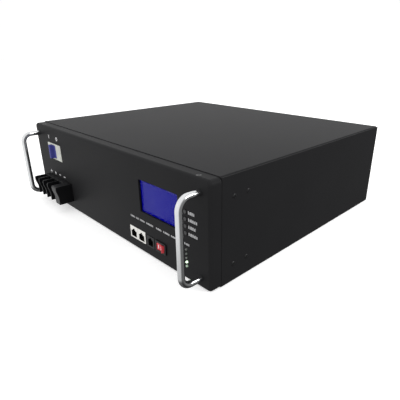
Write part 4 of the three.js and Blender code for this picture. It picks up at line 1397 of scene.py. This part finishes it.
def makeLamps():
    radius = lamp["radius"]
    rim = radius + lamp["flange"]
    for index, look in enumerate(lamp["looks"], 1):
        node = f"status_lamp_{index}"
        low, high = corners(node)
        x, z = (low.x + high.x) / 2, (low.z + high.z) / 2
        length = high.y - low.y
        collar = length - lamp["flangeLength"]
        angles = (0, 0.3, 0.6, 0.9, 1.2, 1.5)
        profile = [(radius * math.sin(a), radius * (1 - math.cos(a))) for a in angles]
        profile += [(radius, radius + 0.2), (radius, collar), (rim, collar), (rim, length), (0, length)]
        lens = turnedMesh(profile, (x, low.y, z), (0, 1, 0), 24)
        piece(f"status_lens_{index}", lens, look, replaces=(node,), smooth=50, weighted=False)


makeButtons()
makeLamps()
print("buttons and lamps made")


# The marks printed on the panel.

ink = {
    "height": 0.05,
    "stroke": 1.6,
    "onSign": (-169.6, -167.7, 112.0, 118.0),
    "offSign": (-138.5, 115.0, 2.4),
    "poles": "++--",
    "poleHeight": 52.3,
    "poleReach": 3.0,
    "letter": 1.35,
    "space": 0.5,
    "topRow": (46.2, 48.8),
    "topWords": ((69, 79), (82, 87), (90, 101), (104, 119), (125, 135), (139, 151), (154, 163), (178, 187)),
    "keyWordStart": 186.0,
    "keyWordEnds": (200.5, 197.5, 201.0, 196.0),
    "keyWordHalf": 1.9,
}


def bar(x0, x1, z0, z1):
    return blockMesh((x0, faceY - ink["height"], z0), (x1, faceY + 0.02, z1))


def ringMark(x, z, radius):
    inner, outer = radius - ink["stroke"] / 2, radius + ink["stroke"] / 2
    profile = [(inner, -0.02), (outer, -0.02), (outer, ink["height"]), (inner, ink["height"])]
    return turnedMesh(profile, (x, faceY, z), (0, -1, 0), 32, True)


# A row of small blocks of uneven width, in place of lettering.
def blockRow(x0, x1, z0, z1):
    blocks = []
    place, turn = x0, 0
    while place < x1 - 0.4:
        width = ink["letter"] * (1.0, 0.75, 1.2, 0.9, 0.6)[turn % 5]
        end = min(place + width, x1)
        trim = (z1 - z0) * (0.0, 0.18, 0.0, 0.1)[turn % 4]
        blocks.append(bar(place, end, z0, z1 - trim))
        place = end + ink["space"] * (1 if turn % 6 else 1.8)
        turn += 1
    return blocks


def makeMarks():
    # On and off above the breaker, plus and minus above the terminals.
    signs = [bar(*ink["onSign"]), ringMark(*ink["offSign"])]
    half, reach, level = ink["stroke"] / 2, ink["poleReach"], ink["poleHeight"]
    for index, sign in enumerate(ink["poles"], 1):
        x = middle(f"terminal_bolt_{index}").x
        signs.append(bar(x - reach, x + reach, level - half, level + half))
        if sign == "+":
            signs.append(bar(x - half, x + half, level + half, level + reach))
            signs.append(bar(x - half, x + half, level - reach, level - half))
    piece("panel_signs", together(signs), brightInk, weighted=False)
    # Over the jacks, the switch and the lamps, and beside the buttons.
    rows = []
    for start, end in ink["topWords"]:
        rows += blockRow(start, end, *ink["topRow"])
    for index, end in enumerate(ink["keyWordEnds"], 1):
        z = middle(f"menu_button_{index}").z
        rows += blockRow(ink["keyWordStart"], end, z - ink["keyWordHalf"], z + ink["keyWordHalf"])
    piece("panel_legends", together(rows), legendInk, weighted=False)


makeMarks()
print("marks made")


# The cells and what links them.

cell = {
    "perRow": 8,
    "corner": 3.0,
    "edge": 0.8,
    "pole": 6.9,
    "poleBore": 3.0,
    "poleHeight": 3.1,
    "poleOffset": 52.0,
    "ventHalf": (6.0, 11.0),
}


def cellNode(row, column):
    return f"cell_{row * cell['perRow'] + column + 1:02d}"


def cellCan(low, high):
    can = blockMesh(low, (high.x, high.y, high.z - cell["poleHeight"]))
    roundEdges(can, cell["corner"], 6, runs("z"))
    return roundEdges(can, cell["edge"], 3, None, 60)


# Two poles with threaded holes and an oval vent between them.
def cellTop(low, high):
    pole, bore, rise = cell["pole"], cell["poleBore"], cell["poleHeight"]
    x, y, top = (low.x + high.x) / 2, (low.y + high.y) / 2, high.z - rise
    profile = [(bore, -1), (pole, -1), (pole, rise - 0.4)]
    profile += [(pole - 0.4, rise), (bore + 0.3, rise), (bore, rise - 0.3)]
    parts = [
        turnedMesh(profile, (x, y + side * cell["poleOffset"], top), (0, 0, 1), 32, True)
        for side in (-1, 1)
    ]
    ventX, ventY = cell["ventHalf"]
    vent = blockMesh((x - ventX, y - ventY, top - 0.4), (x + ventX, y + ventY, top + 0.2))
    roundEdges(vent, ventX - 0.4, 8, runs("z"))
    parts.append(roundEdges(vent, 0.12, 2, None, 60))
    return together(parts)


def makeCells():
    for row in (0, 1):
        tops = []
        for column in range(cell["perRow"]):
            node = cellNode(row, column)
            low, high = corners(node)
            piece(f"{node}_can", cellCan(low, high), cellFilm, replaces=(node,))
            tops.append(cellTop(low, high))
        piece(f"cell_poles_{row + 1}", together(tops), aluminium)


busbar = {
    "half": 7.5,
    "thickness": 2.0,
    "humpFoot": (6.0, 5.2),  # below and above, from the middle
    "humpTop": (3.5, 2.8),
    "humpRise": 1.6,
    "bridgeRise": 8.0,
    "screw": 5.0,
    "screwHeight": 3.2,
}


def poleSpot(row, column, side):
    low, high = corners(cellNode(row, column))
    return Vector(((low.x + high.x) / 2, (low.y + high.y) / 2 + side * cell["poleOffset"], high.z))


# A hexagonal screw head on a flat piece.
def hexHead(spot, seat):
    top = seat + busbar["screwHeight"]
    head = rodMesh((spot.x, spot.y, seat), (spot.x, spot.y, top), busbar["screw"], sides=6)
    return roundEdges(head, 0.4, 2, None, 50)


# A flat link over two poles with a low hump between them.
def link(start, end):
    half, thick, rise = busbar["half"], busbar["thickness"], busbar["humpRise"]
    footUnder, footOver = busbar["humpFoot"]
    topUnder, topOver = busbar["humpTop"]
    mid, low, high = (start.x + end.x) / 2, start.z, start.z + thick
    shape = [(start.x - half, low), (mid - footUnder, low), (mid - topUnder, low + rise)]
    shape += [(mid + topUnder, low + rise), (mid + footUnder, low), (end.x + half, low)]
    shape += [(end.x + half, high), (mid + footOver, high), (mid + topOver, high + rise)]
    shape += [(mid - topOver, high + rise), (mid - footOver, high), (start.x - half, high)]
    return roundEdges(prismMesh(shape, "y", start.y - half, start.y + half), 0.35, 2, None, 50)


# The long bridge from the last cell of one row to the last of the other.
def bridge(start, end):
    half, thick, rise = busbar["half"], busbar["thickness"], busbar["bridgeRise"]
    z, y0, y1 = start.z, start.y, end.y
    shape = [(y0 - half, z), (y0 + half + thick, z), (y0 + half + thick, z + rise)]
    shape += [(y1 - half - thick, z + rise), (y1 - half - thick, z), (y1 + half, z), (y1 + half, z + thick)]
    shape += [(y1 - half, z + thick), (y1 - half, z + rise + thick), (y0 + half, z + rise + thick)]
    shape += [(y0 + half, z + thick), (y0 - half, z + thick)]
    return roundEdges(prismMesh(shape, "x", start.x - half, start.x + half), 0.35, 2, None, 50)


# The cells stand in series: along one row, over the bridge, and back along the other.
def makeBusbars():
    last = cell["perRow"] - 1
    links, spots = [], []
    for row in (0, 1):
        for column in range(last):
            side = 1 if (row + column) % 2 == 0 else -1
            start, end = poleSpot(row, column, side), poleSpot(row, column + 1, side)
            links.append(link(start, end))
            spots += [start, end]
    start, end = poleSpot(0, last, -1), poleSpot(1, last, 1)
    links.append(bridge(start, end))
    spots += [start, end]
    piece("cell_links", together(links), copper)
    screwParts = []
    for spot in spots:
        seat = spot.z + busbar["thickness"]
        washer = rodMesh(
            (spot.x, spot.y, seat - 4), (spot.x, spot.y, seat + 0.6), busbar["screw"] + 1, sides=24
        )
        screwParts += [hexHead(spot, seat), washer]
    piece("link_screws", together(screwParts), zincSteel)


makeCells()
makeBusbars()
print("cells made")


# The boards.

board = {
    "thickness": 1.6,
    "hole": 1.7,
    "holeInset": 6.0,
    "lugHalf": (7.0, 8.0),
    "lugInset": 12.0,
    "lugHeights": (16.0, 46.0),  # above the board's foot
    "lugDepth": 6.0,
    "plugCount": 3,
    "plugHalf": 12.0,
    "plugInset": 60.0,
    "plugPitch": 32.0,
    "transistors": 14,
    "transistorHalf": 5.0,
    "chips": ((-38, 30, 7), (-14, 30, 5), (-38, 56, 5), (-10, 60, 7), (-30, 84, 4)),  # x, z, half width
    "capacitors": ((-58, 96), (-46, 96), (-12, 98), (0, 98), (0, 84)),
    "switchHalf": 3.0,
}


def boardPlate(name, node, front, corner, holes=()):
    low, high = corners(node)
    plate = roundEdges(blockMesh((low.x, front, low.z), high), corner, 3, runs("y"))
    if holes:
        plate = worked(plate, [together(holes)])
    piece(name, plate, boardUpright, replaces=(node,))


# The switching transistors stand in a row below the heat sink, with a tab and three legs each.
def transistors(front):
    sinkLow, sinkHigh = corners("manager_heat_sink")
    foot, count, half = sinkLow.z, board["transistors"], board["transistorHalf"]
    bodies, leads = [], []
    for index in range(count):
        x = sinkLow.x + 8 + index * (sinkHigh.x - sinkLow.x - 16) / (count - 1)
        body = blockMesh((x - half, front - 4.5, foot - 12), (x + half, front, foot - 3))
        bodies.append(roundEdges(body, 0.4, 2))
        tab = blockMesh((x - 4.2, front - 1.3, foot - 3.4), (x + 4.2, front - 0.1, foot - 0.6))
        leads.append(roundEdges(tab, 0.2, 1))
        for leg in (x - 2.5, x, x + 2.5):
            low, high = (leg - 0.4, front - 0.9, foot - 15), (leg + 0.4, front - 0.3, foot - 11.6)
            leads.append(blockMesh(low, high))
    return bodies, leads


# Flat chips with seven legs on each side.
def chips(front):
    bodies, leads = [], []
    for x, z, half in board["chips"]:
        chip = blockMesh((x - half, front - 1.5, z - half), (x + half, front - 0.1, z + half))
        bodies.append(roundEdges(chip, 0.25, 2))
        tip = half + 1.2
        for step in range(-3, 4):
            at = z + step * half / 3.8
            leads.append(blockMesh((x - tip, front - 0.5, at - 0.3), (x + tip, front - 0.1, at + 0.3)))
    return bodies, leads


def makeManagerBoard():
    low, high = corners("manager_board")
    front, inset = high.y - board["thickness"], board["holeInset"]
    holes = [
        rodMesh((x, front - 1, z), (x, high.y + 1, z), board["hole"], sides=20)
        for x in (low.x + inset, high.x - inset)
        for z in (low.z + inset, high.z - inset)
    ]
    boardPlate("manager_plate", "manager_board", front, 2, holes)
    x, face = low.x + board["lugInset"], front - board["lugDepth"]
    lugX, lugZ = board["lugHalf"]
    lugs = []
    for z in [low.z + height for height in board["lugHeights"]]:
        lug = blockMesh((x - lugX, face, z - lugZ), (x + lugX, front, z + lugZ))
        lugs.append(roundEdges(lug, 0.5, 2))
    piece("manager_lugs", together(lugs), copper)
    plugs, half = [], board["plugHalf"]
    for index in range(board["plugCount"]):
        x = low.x + board["plugInset"] + index * board["plugPitch"]
        shell = blockMesh((x - half, low.y, low.z + 4), (x + half, front, low.z + 12))
        pocket = blockMesh((x - half + 1, low.y - 1, low.z + 5), (x + half - 1, low.y + 5.5, low.z + 11))
        plugs.append(worked(roundEdges(shell, 0.4, 2), [pocket]))
    piece("manager_plugs", together(plugs), nylonWhite)
    transistorBodies, transistorLeads = transistors(front)
    chipBodies, chipLeads = chips(front)
    piece("manager_chips", together(transistorBodies + chipBodies), chipBlack)
    piece("manager_leads", together(transistorLeads + chipLeads), zincSteel)
    profile = [(0, 0), (4.6, 0), (4.6, 0.8), (4.3, 1.1), (4.6, 1.4)]  # with a groove above the foot
    profile += [(4.6, 9), (4.2, 9.5), (3.2, 9.4), (0, 9.4)]
    cans = [turnedMesh(profile, (x, front, z), (0, -1, 0), 28) for x, z in board["capacitors"]]
    piece("manager_capacitors", together(cans), aluminium)


def makeKeyBoard():
    low, high = corners("key_board")
    front, half = high.y - board["thickness"], board["switchHalf"]
    boardPlate("key_plate", "key_board", front, 0.8)
    switches = []
    for index in range(1, button["count"] + 1):
        spot = middle(f"menu_button_{index}")
        can = blockMesh((spot.x - half, low.y + 0.6, spot.z - half), (spot.x + half, front, spot.z + half))
        switches.append(roundEdges(can, 0.4, 2))
        switches.append(rodMesh((spot.x, low.y, spot.z), (spot.x, low.y + 0.8, spot.z), 1.6, sides=20))
    piece("key_switches", together(switches), chipBlack)


makeManagerBoard()
makeKeyBoard()
print("boards made")


# The power cables with their ferrules and lugs.

sleeve = {
    "rounding": 2,
    "ferrule": 5.6,
    "ferruleInner": 4.6,
    "ferruleLength": 9.0,
    "lugThickness": 2.4,
    "lugWidth": 6.0,
    "poleOffset": (-20.0, 5.9),  # the cable's end from its pole, along and up
}


def makeCable(node, look):
    bm = bmesh.new()
    bm.from_mesh(nodes[node].data)
    bmesh.ops.scale(bm, vec=(1 / toMetres,) * 3, verts=bm.verts)
    bmesh.ops.remove_doubles(bm, verts=bm.verts, dist=1e-3)
    bmesh.ops.recalc_face_normals(bm, faces=bm.faces)
    tube = piece(f"{node}_sleeve", bm, look, replaces=(node,), weighted=False, smooth=75)
    rounding = tube.modifiers.new("rounding", "SUBSURF")
    rounding.levels = rounding.render_levels = sleeve["rounding"]


def ferrule(place, direction):
    outer, inner, length = sleeve["ferrule"], sleeve["ferruleInner"], sleeve["ferruleLength"]
    profile = [(inner, 0), (outer - 0.3, 0), (outer, 0.4)]
    profile += [(outer, length - 0.6), (outer - 0.4, length), (inner, length)]
    return turnedMesh(profile, place, direction, 28, True)


# A lug lies on a pole and carries its cable's ferrule beside it.
def poleLug(spot, cableEnd):
    half, thick, wide = busbar["half"], sleeve["lugThickness"], sleeve["lugWidth"]
    under, over = cableEnd.z - thick / 2, cableEnd.z + thick / 2
    shape = [(spot.x + half, spot.z), (spot.x + half, spot.z + thick), (spot.x - half, spot.z + thick)]
    shape += [(cableEnd.x + 3, over), (cableEnd.x - 1, over), (cableEnd.x - 1, under)]
    shape += [(cableEnd.x + 2, under), (spot.x - half - 1, spot.z)]
    return roundEdges(prismMesh(shape, "y", spot.y - wide, spot.y + wide), 0.3, 2, None, 50)


def makeCables():
    for node in ("positive_cable", "breaker_cable"):
        makeCable(node, redSleeve)
    for node in ("pack_negative_cable", "cell_negative_cable"):
        makeCable(node, blackSleeve)
    parts = []
    along, up = sleeve["poleOffset"]
    for spot in (poleSpot(0, 0, -1), poleSpot(1, 0, 1)):
        end = spot + Vector((along, 0, up))
        parts.append(poleLug(spot, end))
        parts.append(ferrule(end + Vector((1, 0, 0)), (-1, 0, 0)))
        parts.append(hexHead(spot, spot.z + sleeve["lugThickness"]))
    back = corners("terminal_block")[1].y + 1.2
    for index in (2, 4):
        spot = middle(f"terminal_bolt_{index}")
        parts.append(ferrule((spot.x, back, spot.z), (0, 1, 0)))
    piece("cable_lugs", together(parts), plateSilver)


makeCables()
print("cables made")


# Inner pieces that keep the shape they have.

kept = {
    "breaker_rail": zincSteel,
    "port_board": boardFlat,
    "bay_divider": zincSteel,
    "manager_heat_sink": aluminium,
    "floor_insulator": glassFibre,
    "busbar_tray_1": trayWhite,
    "busbar_tray_2": trayWhite,
    "end_plate_left": aluminium,
    "end_plate_right": aluminium,
}
for node, look in kept.items():
    mesh = nodes[node].data
    mesh.materials.clear()
    mesh.materials.append(look.material)

for model in screwModels.values():
    model.free()
